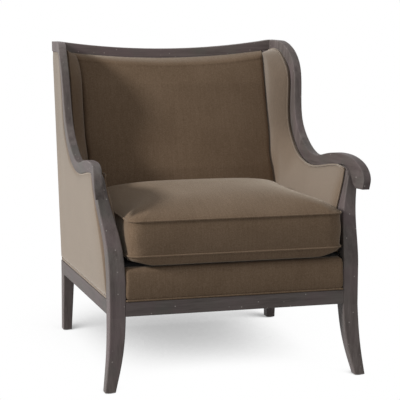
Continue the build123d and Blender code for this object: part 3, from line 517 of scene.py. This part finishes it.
# the rest: two tones, pattern scale, roughness
rawWood = plainFinish("rawBeech", (0.36, 0.24, 0.14), (0.52, 0.38, 0.24), (120.0, 120.0, 12.0), 0.55)
steel = plainFinish("springSteel", (0.30, 0.30, 0.31), (0.42, 0.42, 0.43), (90.0,) * 3, 0.32, 1.0)
jute = plainFinish("juteWeb", (0.22, 0.16, 0.09), (0.40, 0.31, 0.19), (600.0, 40.0, 600.0), 0.8)
lining = plainFinish("blackLining", (0.012, 0.012, 0.013), (0.03, 0.03, 0.031), (900.0,) * 3, 0.85)
foam = plainFinish("seatFoam", (0.62, 0.56, 0.42), (0.72, 0.66, 0.52), (500.0,) * 3, 0.85)
nylon = plainFinish("glideNylon", (0.03, 0.028, 0.026), (0.06, 0.056, 0.052), (300.0,) * 3, 0.45)
zipTape = plainFinish("zipTape", (0.06, 0.047, 0.034), (0.10, 0.08, 0.06), (900.0,) * 3, 0.7)

nodePaint = [
    (woodUp, "wing_left wing_right front_leg_left front_leg_right rear_leg_left rear_leg_right"),
    (woodCrest, "crest_rail"),
    (woodFront, "front_rail back_rail"),
    (woodAlong, "arm_left arm_right side_rail_left side_rail_right"),
    (rawWood, "back_tack_rail arm_tack_rail_left arm_tack_rail_right"),
    (rawWood, "corner_blocks_left corner_blocks_right rail_dowels show_dowels"),
    (steel, "corner_screws seat_springs spring_clips"),
    (jute, "back_webbing"),
    (nylon, "foot_glides"),
    (foam, "cushion_core"),
]
for paint, nodes in nodePaint:
    for node in nodes.split():
        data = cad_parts[node].data
        data.materials.clear()
        data.materials.append(paint)
print("finishes made")


def dress(obj, paint, body, slotName, *stands):
    # finish, body, slot name (not used) and the nodes that a piece stands for
    obj.data.materials.clear()
    obj.data.materials.append(paint)
    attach(obj, body)
    if stands:
        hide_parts(*stands)
    return obj


def woodEdge(count, start):
    # line under the arm and behind the wing, from a depth near the post to the crest
    arm = armLow[::-1]
    arm = arm[arm[:, 0] >= toe + start]
    arm = arm[arm[:, 0] <= wingRear[0, 0]]
    return evenly(np.concatenate([arm, wingRear[1:], atDepth(stationPoints[-1:])]), count)


def offEdge(line, gap):
    # moved off the wood: down from the arm, back from the wing
    t = np.gradient(line, axis=0)
    t /= np.linalg.norm(t, axis=1)[:, None]
    return line + gap * np.stack([t[:, 1], -t[:, 0]], axis=1)


def fanEnds(line, stations, ends, blur):
    # far end of each strip, from a few stations along the line, smoothed over some rows to each side
    s = np.linspace(0.0, 1.0, len(line))
    near = [s[np.argmin(np.linalg.norm(line - p, axis=1))] for p in atDepth(stations)]
    far = atDepth(ends)
    got = np.stack([np.interp(s, near, far[:, c]) for c in (0, 1)], axis=1)
    kernel = np.hanning(2 * blur + 1)
    kernel /= kernel.sum()
    padded = np.concatenate([np.repeat(got[:1], blur, axis=0), got, np.repeat(got[-1:], blur, axis=0)])
    return np.stack([np.convolve(padded[:, c], kernel, "valid") for c in (0, 1)], axis=1)


# points of the wood's edge, in mm, that the strips of pad and panel fan out from
stationPoints = [(117, 590), (160, 594), (250, 585), (395, 567.5), (470, 576.6), (524, 598), (606, 680),
                 (621, 770), (634, 842), (666, 876), (763, 908), (798, 908)]

# inside arm and wing: one pad from the post to the crest; shares run along the wood's edge
sidePad = dict(
    rows=190, cols=46, packed=1.5, start=0.117, blur=8,
    ends=[(117, 356), (160, 356), (250, 356), (395, 356), (560, 356), (744, 356), (773, 680),
          (781, 775), (786, 828), (790, 864), (795, 886), (798, 899)],
    armSwell=0.034, armFoot=0.027, wingFull=0.047, wingRise=0.070, wingFrom=0.42, wingRun=0.18,
    crestFrom=0.86, crestRun=0.14, crestHaste=0.65, crestThin=0.15,
    edge=0.0055, edgeRoll=0.008, frontRoll=0.042, least=0.003, leastRoll=0.12, leastFront=0.10,
    gap=0.0009, lap=0.0058, lapFrom=0.80, lapRun=0.10, lapEnd=0.05,
    cornerFill=0.013, cornerDepth=0.60, cornerRun=0.05, cornerTop=0.66, cornerFall=0.12,
    flatLevels=[0.70, 0.74, 0.80, 0.885, 0.905], flatHalf=[0.285, 0.3030, 0.3055, 0.3120, 0.3130],
    flatSoft=0.003, postDepth=0.150, postRun=0.02, skin=0.0015)


def makeSidePad():
    k = sidePad
    share = np.linspace(0.0, 1.0, k["rows"])[:, None]
    # on the wing the rim laps over the wood's edge
    lap = k["lap"] * smoothStep((share - k["lapFrom"]) / k["lapRun"])
    lap = lap * smoothStep((1.0 - share) / k["lapEnd"])
    edge = offEdge(woodEdge(k["rows"], k["start"]), k["gap"] - lap)
    run = fanEnds(edge, stationPoints, k["ends"], k["blur"]) - edge
    t = np.linspace(0.0, 1.0, k["cols"])[None, :] ** k["packed"]
    spot = edge[:, None, :] + run[:, None, :] * t[:, :, None]
    y, z = spot[..., 0], spot[..., 1]
    q = np.linalg.norm(run, axis=1)[:, None] * t
    toWing = smoothStep((share - k["wingFrom"]) / k["wingRun"])
    crest = smoothStep((share - k["crestFrom"]) / k["crestRun"])
    # thickness: on the arm a parabola from edge to swell to foot, on the wing one that rises and stays
    arm = k["edge"] * (1 - t) * (1 - 2 * t) + 4 * k["armSwell"] * t * (1 - t) + k["armFoot"] * t * (2 * t - 1)
    rise = k["wingRise"] * (1.0 - k["crestHaste"] * crest)
    wing = k["edge"] + (k["wingFull"] - k["edge"]) * (1.0 - (1.0 - np.minimum(q / rise, 1.0)) ** 2)
    thick = arm + (wing * (1.0 - k["crestThin"] * crest) - arm) * toWing
    thick = np.maximum(thick, k["least"]) * np.maximum(quarterRound(q, k["edgeRoll"]), k["leastRoll"])
    # fuller low down, where it meets the inside back
    low = smoothStep((k["cornerTop"] - z) / k["cornerFall"])
    thick = thick + k["cornerFill"] * smoothStep((y - toe - k["cornerDepth"]) / k["cornerRun"]) * low
    board = sideX(y, z) - boardThick - clothGap
    # high on the wing the face flattens to the plane that the back's edge follows: a soft minimum
    flat = board - np.interp(z, k["flatLevels"], k["flatHalf"])
    thick = 0.5 * (thick + flat - np.sqrt((thick - flat) ** 2 + k["flatSoft"] ** 2))
    onPost = 1.0 - smoothStep((y - toe - k["postDepth"]) / k["postRun"])
    back = board + (np.minimum(board, postInner(z) - clothGap) - board) * onPost
    full = np.minimum(board - thick, back - k["skin"])
    roll = np.maximum(quarterRound(lengthAlong(edge), k["frontRoll"]), k["leastFront"])[:, None]
    front = back - (back - full) * roll
    f = np.stack([front, y, z], axis=-1)
    b = np.stack([back, y, z], axis=-1)
    return padMesh("insideSideRight", f, b), f


padRight, padFront = makeSidePad()
padLeft = mirrored("insideSideLeft", padRight)
dress(padRight, clothSide, "frame", "upholstery", "inside_side_right")
dress(padLeft, clothShadedCopy, "frame", "upholstery", "inside_side_left")
print("inside arms and wings made")

# thin self-welt where the inside pad meets the wood, and down the post
padWelt = dict(radius=0.0026, sides=10, count=260, offRim=2.4, offPost=0.9, postCols=34)


def makePadWelts():
    # a tube along the pad's own rim, a few radii inside it
    k = padWelt
    rim = padFront[:, 0, :].copy()
    rim[:, 0] -= k["radius"] * k["offRim"]
    down = padFront[0, 1:k["postCols"], :].copy()
    down[:, 0] -= k["radius"] * k["offPost"]
    path = np.concatenate([down[::-1], rim[1:]])
    right = tubeMesh("padWeltRight", evenly(path, k["count"]), k["radius"], k["sides"])
    return right, mirrored("padWeltLeft", right)


for welt, paint in zip(makePadWelts(), (clothSide, clothShadedCopy)):
    dress(welt, paint, "frame", "upholstery")

# inside back: full in the middle, rolled at the sides and over the top to the crest
backPad = dict(
    cols=90, rows=110, rollRows=16, low=0.3565, halfTop=0.3165, lapCrest=0.0022, crowding=0.6,
    levels=[0.354, 0.46, 0.545, 0.66, 0.805, 0.87, 0.90, 0.925],
    depths=[0.606, 0.606, 0.6248, 0.6624, 0.712, 0.7445, 0.7667, 0.7873],
    crown=0.018, crownPower=2.4, fullness=0.006, fullLow=0.36, fullRun=0.52,
    sideRoll=0.014, rollAt=0.6, clear=0.0006, blur=4, topRoll=0.024, crestFront=0.8186,
    webTop=0.87, offWeb=0.0012, skin=0.0004, tuck=0.004)


def padFace(y, z):
    # inner face of the side pad at a depth and height: mean of its nearest points
    spot = padFront.reshape(-1, 3)
    away = (y[:, None] - spot[None, :, 1]) ** 2 + (z[:, None] - spot[None, :, 2]) ** 2
    near = np.argsort(away, axis=1)[:, :5]
    weight = 1.0 / (np.take_along_axis(away, near, axis=1) + 1e-8)
    return (weight * spot[near, 0]).sum(axis=1) / weight.sum(axis=1)


def makeBackPad():
    # a is -1 to 1 across, crowded at the sides; depth is the edge line less a crown of 1 - |a|^power
    k = backPad
    even = np.linspace(-1, 1, k["cols"])[None, :]
    crowded = np.sin(np.linspace(-0.5, 0.5, k["cols"]) * np.pi)[None, :]
    a = crowded * k["crowding"] + even * (1 - k["crowding"])
    climb = np.linspace(0.0, 1.0, k["rows"])[:, None]
    over = np.linspace(0.0, 0.5 * np.pi, k["rollRows"])[1:, None]
    top = crestUnder - crestDrop(k["halfTop"] * a) + k["lapCrest"]
    shoulder = top - k["topRoll"]
    z = np.concatenate([k["low"] + (shoulder - k["low"]) * climb, shoulder + k["topRoll"] * np.sin(over)])
    yEdge = toe + np.interp(np.minimum(z, np.broadcast_to(shoulder, z.shape)), k["levels"], k["depths"])
    # half width: out to the side pads, smoothed up the height
    reach = padFace(yEdge[:, 0] + k["rollAt"] * k["sideRoll"], z[:, 0]) - k["clear"]
    window = 2 * k["blur"] + 1
    half = np.convolve(np.pad(reach, k["blur"], mode="edge"), np.full(window, 1.0 / window), "valid")[:, None]
    mid = np.sin(np.clip((z - k["fullLow"]) / k["fullRun"], 0, 1) * np.pi)
    y = yEdge - (k["crown"] + k["fullness"] * mid) * (1.0 - np.abs(a) ** k["crownPower"])
    y = y + k["sideRoll"] * (1.0 - quarterRound((1.0 - np.abs(a)) * half, k["sideRoll"]))
    # over the top a quarter turn from the shoulder to the crest
    start = y[k["rows"] - 1:k["rows"], :]
    y[k["rows"]:, :] = start + (toe + k["crestFront"] - start) * (1.0 - np.cos(over))
    behind = np.where(z < k["webTop"], webFace(z) - k["offWeb"], toe + k["crestFront"])
    x = half * a
    f = np.stack([x, y, z], axis=-1)
    tuck = np.where(z > k["webTop"], k["tuck"], 0.0)
    b = np.stack([x, np.maximum(behind, y + k["skin"]), z - tuck], axis=-1)
    return padMesh("insideBack", f, b)


insideBack = makeBackPad()
dress(insideBack, clothFront, "frame", "upholstery", "inside_back")
print("inside back made")

# loose seat cushion: belly, boxing and crown, blown up between its welts; profiles are inset and height in mm
cushion = dict(
    halfWidth=0.311, front=0.007, back=0.580, lowWelt=0.3775, highWelt=0.475, corner=0.034, around=300,
    under=[(268.8, 354), (224, 354), (168, 354), (117.6, 354)],
    belly=[(36, 354), (15, 356.5), (4, 364), (0, 377.5)],
    boxing=[(0, 377.5), (-1.5, 428), (0, 475)],
    crown=[(0, 475), (10, 489), (26, 500.5), (52, 511), (95, 519.5), (150, 525), (205, 527.5)],
    middle=[(224, 528.5), (246.4, 528.5), (268.8, 528.5)],
    bellyRows=18, boxingRows=16, crownRows=26, mostInset=0.27,
    cornerBelly=2.2, cornerCrown=0.3, cornerMost=0.9, shift=0.002,
    sinkSim=0.004, sinkQuick=-0.006, sinkRun=0.03,
    sag=0.0075, sagReach=0.055, sagRun=0.04, sagEnd=0.075, sagEndRun=0.06, sagDrop=0.012,
    holdSeam=0.006, holdDeep=0.012, holdUnder=0.362,
    gathers=13.0, gatherHeight=0.0022, gatherEdge=0.008, gatherFade=0.018, gatherAbove=0.003,
    weltRadius=0.0028, weltOut=0.0006, weltCount=420)
midY = toe + 0.5 * (cushion["front"] + cushion["back"])
halfDeep = 0.5 * (cushion["back"] - cushion["front"])


def roundRect(halfX, halfY, radius, count):
    # rounded rectangle, points evenly along it, from the middle of the front anticlockwise
    sx, sy, arc = halfX - radius, halfY - radius, 0.5 * np.pi * radius
    runs = np.cumsum([0.0, sx, arc, 2 * sy, arc, 2 * sx, arc, 2 * sy, arc, sx])
    s = np.linspace(0.0, runs[-1], count, endpoint=False)
    i = np.clip(np.searchsorted(runs, s, side="right") - 1, 0, 8)
    w = s - runs[i]
    # even runs are straight, odd ones are corners
    begin = np.zeros((9, 2))
    begin[::2] = [(0, -halfY), (halfX, -sy), (sx, halfY), (-halfX, sy), (-sx, -halfY)]
    way = np.zeros((9, 2))
    way[::2] = [(1, 0), (0, 1), (-1, 0), (0, -1), (1, 0)]
    centre = np.zeros((9, 2))
    centre[1::2] = [(sx, -sy), (sx, sy), (-sx, sy), (-sx, -sy)]
    turn = np.zeros(9)
    turn[1::2] = np.array([-0.5, 0.0, 0.5, 1.0]) * np.pi
    angle = turn[i] + w / radius
    bend = (i % 2 == 1)[:, None]
    arcPoint = centre[i] + radius * np.stack([np.cos(angle), np.sin(angle)], axis=1)
    return np.where(bend, arcPoint, begin[i] + way[i] * w[:, None])


def cushionRings(sink):
    # rounded rectangles inset by the profile, from the middle of the belly to the middle of the crown
    k = cushion
    belly = splineThrough(k["belly"], (-1.0, 0.03), (-0.12, 1.0), k["bellyRows"])
    boxing = splineThrough(k["boxing"], (0.1, 1.0), (-0.1, 1.0), k["boxingRows"])[1:-1]
    crown = splineThrough(k["crown"], (0.5, 1.0), (1.0, 0.0), k["crownRows"])
    profile = np.concatenate([k["under"], belly, boxing, crown, k["middle"]]) / 1000.0
    profile[:, 0] = np.minimum(profile[:, 0], k["mostInset"])
    rings = []
    for inset, z in profile:
        rounder = k["cornerBelly"] if z < k["lowWelt"] else k["cornerCrown"]
        corner = min(k["corner"] + rounder * inset, k["cornerMost"] * (halfDeep - inset))
        ring = roundRect(k["halfWidth"] - inset, halfDeep - inset, corner, k["around"])
        level = z - sink * smoothStep((z - k["highWelt"]) / k["sinkRun"])
        # the belly hangs over the border in front, less so at the corners
        nearFront = smoothStep((k["sagReach"] - halfDeep - ring[:, 1]) / k["sagRun"])
        nearEnd = smoothStep((np.abs(ring[:, 0]) - k["halfWidth"] + k["sagEnd"]) / k["sagEndRun"])
        sag = k["sag"] * nearFront * (1.0 - nearEnd) * smoothStep((k["lowWelt"] - z) / k["sagDrop"])
        rings.append(np.column_stack([ring[:, 0] + k["shift"], ring[:, 1] + midY, level - sag]))
    return np.stack(rings)


def heldPoints(co):
    # the welts and the underside stay, the rest is free
    k = cushion
    nearWelt = np.minimum(np.abs(co[:, 2] - k["lowWelt"]), np.abs(co[:, 2] - k["highWelt"]))
    inside = np.maximum(np.abs(co[:, 0]) - k["halfWidth"], np.abs(co[:, 1] - midY) - halfDeep)
    seam = np.where(inside > -k["holdDeep"], np.clip(1.0 - nearWelt / k["holdSeam"], 0, 1), 0.0)
    under = np.clip((k["holdUnder"] - co[:, 2]) / k["holdSeam"], 0, 1)
    return np.maximum(seam, under)


def gatherCorners(obj):
    # ridges fan in from each rounded corner of the upper seam and die away
    k = cushion
    co = coordsOf(obj.data)
    fromX = np.abs(co[:, 0]) - (k["halfWidth"] - k["corner"])
    fromY = np.abs(co[:, 1] - midY) - (halfDeep - k["corner"])
    inward = k["corner"] - np.hypot(np.maximum(fromX, 0.0), np.maximum(fromY, 0.0))
    inCorner = smoothStep(fromX / k["gatherEdge"]) * smoothStep(fromY / k["gatherEdge"])
    inCorner = inCorner * (co[:, 2] > k["highWelt"] + k["gatherAbove"])
    fade = np.exp(-np.maximum(inward, 0.0) / k["gatherFade"])
    co[:, 2] += k["gatherHeight"] * inCorner * (np.cos(k["gathers"] * np.arctan2(fromY, fromX)) * fade)
    obj.data.vertices.foreach_set("co", co.ravel())
    obj.data.update()


def makeCushion():
    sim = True
    rings = cushionRings(cushion["sinkSim"] if sim else cushion["sinkQuick"])
    obj = meshFrom("seatCushion", rings, ringFaces(*rings.shape[:2]))
    if sim:
        plump(obj, heldPoints)
        gatherCorners(obj)
    return obj


seat = makeCushion()
dress(seat, clothSeat, "cushion", "upholstery", "cushion_cover", "cushion_core")


def makeCushionWelt(name, z):
    # a tube on the seam line, proud of it by most of its radius
    k = cushion
    ring = roundRect(k["halfWidth"] + k["weltOut"], halfDeep + k["weltOut"], k["corner"], k["weltCount"])
    path = np.column_stack([ring[:, 0] + k["shift"], ring[:, 1] + midY, np.full(len(ring), z)])
    return tubeMesh(name, path, k["weltRadius"], closed=True)


topWelt = makeCushionWelt("cushionWeltTop", cushion["highWelt"])
lowWelt = makeCushionWelt("cushionWeltLow", cushion["lowWelt"])
dress(topWelt, clothSeat, "cushion", "upholstery", "cushion_welt_top")
dress(lowWelt, clothSeat, "cushion", "upholstery", "cushion_welt_bottom")
print("cushion made")

# front border: a padded bar over the front rail
border = dict(
    half=0.3181, low=0.2574, top=0.3445, face=0.018, bulge=0.0035, bulgePower=0.7, nose=0.018, back=0.0496,
    cols=120, crowding=1.6, faceRows=26, noseRows=14, topRows=6, tuck=0.010, middle=(0.032, 0.305),
    behind=[(0.0496, 0.332), (0.0496, 0.3146), (0.040, 0.3146), (0.0296, 0.3146), (0.0296, 0.29),
            (0.0296, 0.2574)], onRail=5,
    weltHalf=0.318, weltDepth=0.0194, weltLevel=0.2541, weltRadius=0.0029)


def makeBorder():
    # one section, bulged in front and rounded over its nose, carried along x
    k = border
    faceZ = np.linspace(k["low"], k["top"] - k["nose"], k["faceRows"])
    share = (faceZ - k["low"]) / (k["top"] - k["nose"] - k["low"])
    faceY = k["face"] - k["bulge"] * np.sin(np.pi * share) ** k["bulgePower"]
    turn = np.linspace(0.0, 0.5 * np.pi, k["noseRows"])[1:]
    noseY = k["face"] + k["nose"] * (1 - np.cos(turn))
    noseZ = k["top"] - k["nose"] + k["nose"] * np.sin(turn)
    flatY = np.linspace(k["face"] + k["nose"], k["back"], k["topRows"])[1:]
    flatZ = np.full(len(flatY), k["top"])
    section = np.concatenate([np.column_stack([faceY, faceZ]), np.column_stack([noseY, noseZ]),
                              np.column_stack([flatY, flatZ]), k["behind"]])
    x = np.linspace(-1.0, 1.0, k["cols"])
    x = np.sign(x) * (1 - (1 - np.abs(x)) ** k["crowding"]) * k["half"]
    # ends roll in: the section shrinks towards its middle over the last few millimetres, not on the rail
    tuck = (1.0 - quarterRound(k["half"] - np.abs(x), k["tuck"])) * k["tuck"]
    away = section - np.array(k["middle"])
    away = away / np.linalg.norm(away, axis=1)[:, None]
    away[-k["onRail"]:] = 0.0
    sec = section[None] - away[None] * tuck[:, None, None]
    ring = np.stack([np.broadcast_to(x[:, None], sec.shape[:2]), sec[..., 0] + toe, sec[..., 1]], axis=-1)
    return meshFrom("frontBorder", ring, ringFaces(k["cols"], len(section)))


def makeBorderWelt():
    # straight tube along the border's lower edge
    k = border
    x = np.linspace(-k["weltHalf"], k["weltHalf"], k["cols"])
    line = np.column_stack([x, np.full(len(x), toe + k["weltDepth"]), np.full(len(x), k["weltLevel"])])
    return tubeMesh("borderWelt", line, k["weltRadius"])


frontBorder = dress(makeBorder(), clothFront, "frame", "upholstery", "front_border")
dress(makeBorderWelt(), clothFront, "frame", "upholstery", "border_welt")
print("front border made")

# outside panels: cloth stretched from the arm and wing down to the side rail
panel = dict(
    rows=180, cols=50, start=0.1495, gap=0.0012, blur=1,
    ends=[(78, 257.6), (200, 254), (390, 249), (590, 243), (792.6, 237.8), (800, 520),
          (823, 690), (830, 775), (834, 835), (835.2, 890), (835.6, 905.5)],
    rearFrom=0.79, offRear=0.0068, footFront=0.0685, offPost=0.0007, postFade=0.35,
    inset=0.002, thick=0.0078, roll=0.005, rollDeep=0.0035, endSlack=0.004,
    puff=0.0045, puffEdge=0.030, puffEnds=0.075, dip=0.008, dipRun=0.070, dipTop=0.60, dipFall=0.25,
    skin=0.0025)


def makePanel():
    # strips from the wood's edge to the rail and the back, proud by a puff, sunk towards the post
    k = panel
    edge = offEdge(woodEdge(k["rows"], k["start"]), k["gap"])
    deep = fanEnds(edge, stationPoints[1:], k["ends"], k["blur"])
    deep[:, 0] = np.where(deep[:, 0] > toe + k["rearFrom"], rearFace(deep[:, 1]) - k["offRear"], deep[:, 0])
    deep[0, 0] = toe + k["footFront"]
    t = np.linspace(0.0, 1.0, k["cols"])[None, :]
    run = deep - edge
    spot = edge[:, None, :] + run[:, None, :] * t[:, :, None]
    y, z = spot[..., 0], spot[..., 1]
    # the front strips bend along the post's rear face
    straight = edge[0, 0] + run[0, 0] * t
    bend = (postRear(edge[0, 1] + run[0, 1] * t) + k["offPost"]) - straight
    fade = (1.0 - smoothStep(np.linspace(0.0, 1.0, k["rows"]) / k["postFade"]))[:, None]
    y = np.maximum(y + bend * fade, postRear(z) + k["offPost"])
    q = np.minimum(t, 1.0 - t) * np.linalg.norm(run, axis=1)[:, None]
    along = lengthAlong(edge)
    ends = np.minimum(along, along[-1] - along + k["endSlack"])[:, None]
    rise = quarterRound(q, k["roll"]) * quarterRound(ends, k["roll"])
    body = sideX(y, z) - k["inset"]
    swell = k["puff"] * quarterRound(q, k["puffEdge"]) * quarterRound(ends, k["puffEnds"])
    atPost = 1.0 - quarterRound(along[:, None], k["dipRun"])
    dip = k["dip"] * atPost * smoothStep((k["dipTop"] - z) / k["dipFall"])
    front = body - k["rollDeep"] * (1.0 - rise) + swell - dip
    f = np.stack([front, y, z], axis=-1)
    b = np.stack([np.minimum(body - k["thick"], front - k["skin"]), y, z], axis=-1)
    return padMesh("outsideSideRight", f, b, flip=True), f


panelRight, panelFront = makePanel()
panelLeft = mirrored("outsideSideLeft", panelRight)
dress(panelRight, clothSide, "frame", "upholstery", "outside_side_right")
dress(panelLeft, clothSide, "frame", "upholstery", "outside_side_left")

panelWelt = dict(half=0.3591, front=0.0684, back=0.7932, level=0.2541, fall=0.020, radius=0.0029, count=120)
edgeWelt = dict(radius=0.0025, sides=10, out=0.0008, count=260)


def makePanelWelts():
    # straight tube along the side rail's ledge, falling to the back
    k = panelWelt
    s = np.linspace(0.0, 1.0, k["count"])
    depth = toe + k["front"] + s * (k["back"] - k["front"])
    foot = np.column_stack([np.full(len(s), k["half"]), depth, k["level"] - k["fall"] * s])
    right = tubeMesh("panelWeltRight", foot, k["radius"])
    return right, mirrored("panelWeltLeft", right)


def makeEdgeWelts():
    # tube along the panel's rim, under the arm and behind the wing
    k = edgeWelt
    path = panelFront[:, 0, :].copy()
    path[:, 0] += k["out"]
    right = tubeMesh("edgeWeltRight", evenly(path, k["count"]), k["radius"], k["sides"])
    return right, mirrored("edgeWeltLeft", right)


for welt, node in zip(makePanelWelts(), ("panel_welt_right", "panel_welt_left")):
    dress(welt, clothSide, "frame", "upholstery", node)
for welt in makeEdgeWelts():
    dress(welt, clothSide, "frame", "upholstery")
print("outside panels made")

# outside back
backPanel = dict(rows=70, cols=70, thick=0.0058, puff=0.001, puffRun=0.12, roll=0.006, rollDeep=0.003,
                 low=0.2316, halfLow=0.362, top=0.9076, span=0.6766, inset=0.002, halfTop=0.3745,
                 offCrest=0.0002)


def makeBackPanel():
    # the back's own plane, puffed a little and rolled in at its edges
    k = backPanel
    a = np.linspace(-1, 1, k["cols"])[None, :]
    h = np.linspace(0, 1, k["rows"])[:, None]
    top = crestUnder - crestDrop(k["halfTop"] * a) - k["offCrest"]
    z = k["low"] + (top - k["low"]) * h
    wider = sideX(heel, k["top"]) - k["inset"] - k["halfLow"]
    half = k["halfLow"] + wider * (z - rearLine["low"]) / k["span"]
    e = np.minimum((1 - np.abs(a)) * half, np.minimum(h, 1 - h) * (top - k["low"]))
    swell = k["puff"] * np.clip(e / k["puffRun"], 0, 1) - k["rollDeep"] * (1 - quarterRound(e, k["roll"]))
    f = np.stack([half * a, rearFace(z) + swell - clothGap, z], axis=-1)
    b = np.stack([half * a, rearFace(z) - k["thick"], z], axis=-1)
    return padMesh("outsideBack", f, b, flip=True)


outsideBack = dress(makeBackPanel(), clothFront, "frame", "upholstery", "outside_back")
print("outside back made")

# deck under the cushion
deck = dict(rows=60, cols=60, half=0.3175, front=0.0506, back=0.7512, top=0.3533, roll=0.015, rollDeep=0.006,
            under=0.3138, fall=0.0215)


def makeDeck():
    # level top, rounded off at its edges, over an underside that falls to the back
    k = deck
    a, d = np.meshgrid(np.linspace(-1, 1, k["cols"]), np.linspace(0, 1, k["rows"]))
    x = k["half"] * a
    y = toe + k["front"] + (k["back"] - k["front"]) * d
    e = np.minimum((1 - np.abs(a)) * k["half"], np.minimum(d, 1 - d) * (k["back"] - k["front"]))
    f = np.stack([x, y, k["top"] - k["rollDeep"] * (1 - quarterRound(e, k["roll"]))], axis=-1)
    b = np.stack([x, y, k["under"] - k["fall"] * d], axis=-1)
    return padMesh("seatDeck", f, b)


seatDeck = dress(makeDeck(), lining, "frame", "lining", "seat_deck")

# dust cover under the rails, held in between the legs
cover = dict(rows=60, cols=50, half=0.347, front=0.0345, back=0.7835, sag=0.004, thick=0.0009, offRail=0.0003,
             railDepths=[0.068, 0.752], railLevels=[0.2094, 0.1894],
             frontLegs=0.070, rearLegs=0.750, halfFront=0.3165, halfRear=0.3275)


def makeDustCover():
    # the rails' undersides, with a sag of (1 - a^2) sin(pi d)
    k = cover
    a, d = np.meshgrid(np.linspace(-1, 1, k["cols"]), np.linspace(0, 1, k["rows"]))
    y = k["front"] + (k["back"] - k["front"]) * d
    z = np.interp(y, k["railDepths"], k["railLevels"]) - k["sag"] * (1 - a ** 2) * np.sin(np.pi * d)
    half = np.where(y > k["rearLegs"], k["halfRear"], k["half"])
    half = np.where(y < k["frontLegs"], k["halfFront"], half)
    f = np.stack([half * a, toe + y, z - k["offRail"]], axis=-1)
    return padMesh("dustCover", f, f - np.array([0.0, 0.0, k["thick"]]))


dust = dress(makeDustCover(), lining, "frame", "lining", "dust_cover")

# zip at the back of the cushion
zipLine = dict(rows=260, cols=13, half=0.21, tape=0.008, level=0.428, offBack=0.0036, thick=0.0014,
               tooth=0.0006, toothWide=0.0016, toothPitch=0.003)


def makeZip():
    # tape with a raised row of teeth along its middle
    k = zipLine
    h, x = np.meshgrid(np.linspace(-k["tape"], k["tape"], k["cols"]),
                       np.linspace(-k["half"], k["half"], k["rows"]))
    face = toe + cushion["back"] - k["offBack"]
    beat = 0.6 + 0.4 * np.sign(np.sin(x * 2 * np.pi / k["toothPitch"]))
    teeth = k["tooth"] * np.exp(-(h / k["toothWide"]) ** 2) * beat
    f = np.stack([x, face + teeth, k["level"] + h], axis=-1)
    b = np.stack([x, np.full_like(x, face - k["thick"]), k["level"] + h], axis=-1)
    return padMesh("cushionZip", f, b)


dress(makeZip(), zipTape, "cushion", "zip_tape", "cushion_zipper")
print("deck, cover and zip made")

# studio: pale floor, soft key from the left, camera where the photograph was taken
studio = dict(
    keyAt=(-8.3, -1.4, 4.6), keyTo=(0.0, 0.0, 0.5), keySize=1.5, keyPower=600.0,
    warm=(1.0, 0.985, 0.96), fill=0.375,
    floor=[(-9, -7, 0), (9, -7, 0), (9, 14, 0), (-9, 14, 0)], floorTone=(0.40, 0.40, 0.40),
    overFloor=(0.0, -0.93, 0.36), reach=1.0,
    shadow=[(0.46, 0.38), (0.535, 0.48), (0.575, 0.64), (0.635, 0.85), (0.72, 0.985), (0.78, 1.0)],
    lens=126.2, sensor=36.0, eye=(-1.1213, -4.0964, 1.0815), lookDown=0.1437, lookRight=0.268)


def aim(obj, target):
    # turns a light so that its -z looks at the target
    way = np.array(target) - np.array(obj.location)
    yaw = math.atan2(way[1], way[0])
    pitch = math.atan2(way[2], math.hypot(way[0], way[1]))
    obj.rotation_euler = (math.pi / 2 + pitch, 0.0, yaw - math.pi / 2)


def makeWorld():
    # warm fill on the chair, white to look at
    world = bpy.data.worlds.new("studio")
    bpy.context.scene.world = world
    f = Finish(world, "Background", Color=(*studio["warm"], 1.0), Strength=studio["fill"])
    f.show(f.node("ShaderNodeBackground", None, {0: (1.0, 1.0, 1.0, 1.0)}), "World Output")


def makeFloor():
    # white to look at, with a painted shadow: darker where the chair stands close over it, by occlusion, not
    # by the lamps
    k = studio
    mesh = bpy.data.meshes.new("floor")
    mesh.from_pydata(k["floor"], [], [(0, 1, 2, 3)])
    material = bpy.data.materials.new("paleFloor")
    f = Finish(material, Roughness=0.9, Specular_IOR_Level=0.0, Base_Color=(*k["floorTone"], 1.0))
    # painted shadow: occlusion round a normal leaned to the front, so the grey falls further back under the
    # chair
    lean = f.node("ShaderNodeCombineXYZ", None, dict(enumerate(k["overFloor"])))
    near = f.node("ShaderNodeAmbientOcclusion", {"samples": 48},
                  {"Distance": k["reach"], "Normal": lean}, out=1)
    paintedFloorShadow = f.ramp(near, [(at, (g, g, g)) for at, g in k["shadow"]])
    f.show(f.node("ShaderNodeEmission", None, {0: paintedFloorShadow}), "Material Output")
    mesh.materials.append(material)
    linked("floor", mesh)


def makeLightAndCamera():
    k = studio
    light = bpy.data.lights.new("key", "AREA")
    light.shape = "DISK"
    light.size = k["keySize"]
    light.energy = k["keyPower"]
    light.color = k["warm"]
    key = linked("key", light)
    key.location = k["keyAt"]
    aim(key, k["keyTo"])
    cam = linked("camera", bpy.data.cameras.new("camera"))
    cam.data.lens = k["lens"]
    cam.data.sensor_width = k["sensor"]
    cam.location = k["eye"]
    cam.rotation_euler = (math.pi / 2 - k["lookDown"], 0.0, -k["lookRight"])
    bpy.context.scene.camera = cam
    bpy.context.scene.view_settings.view_transform = "Standard"


makeWorld()
makeFloor()
makeLightAndCamera()
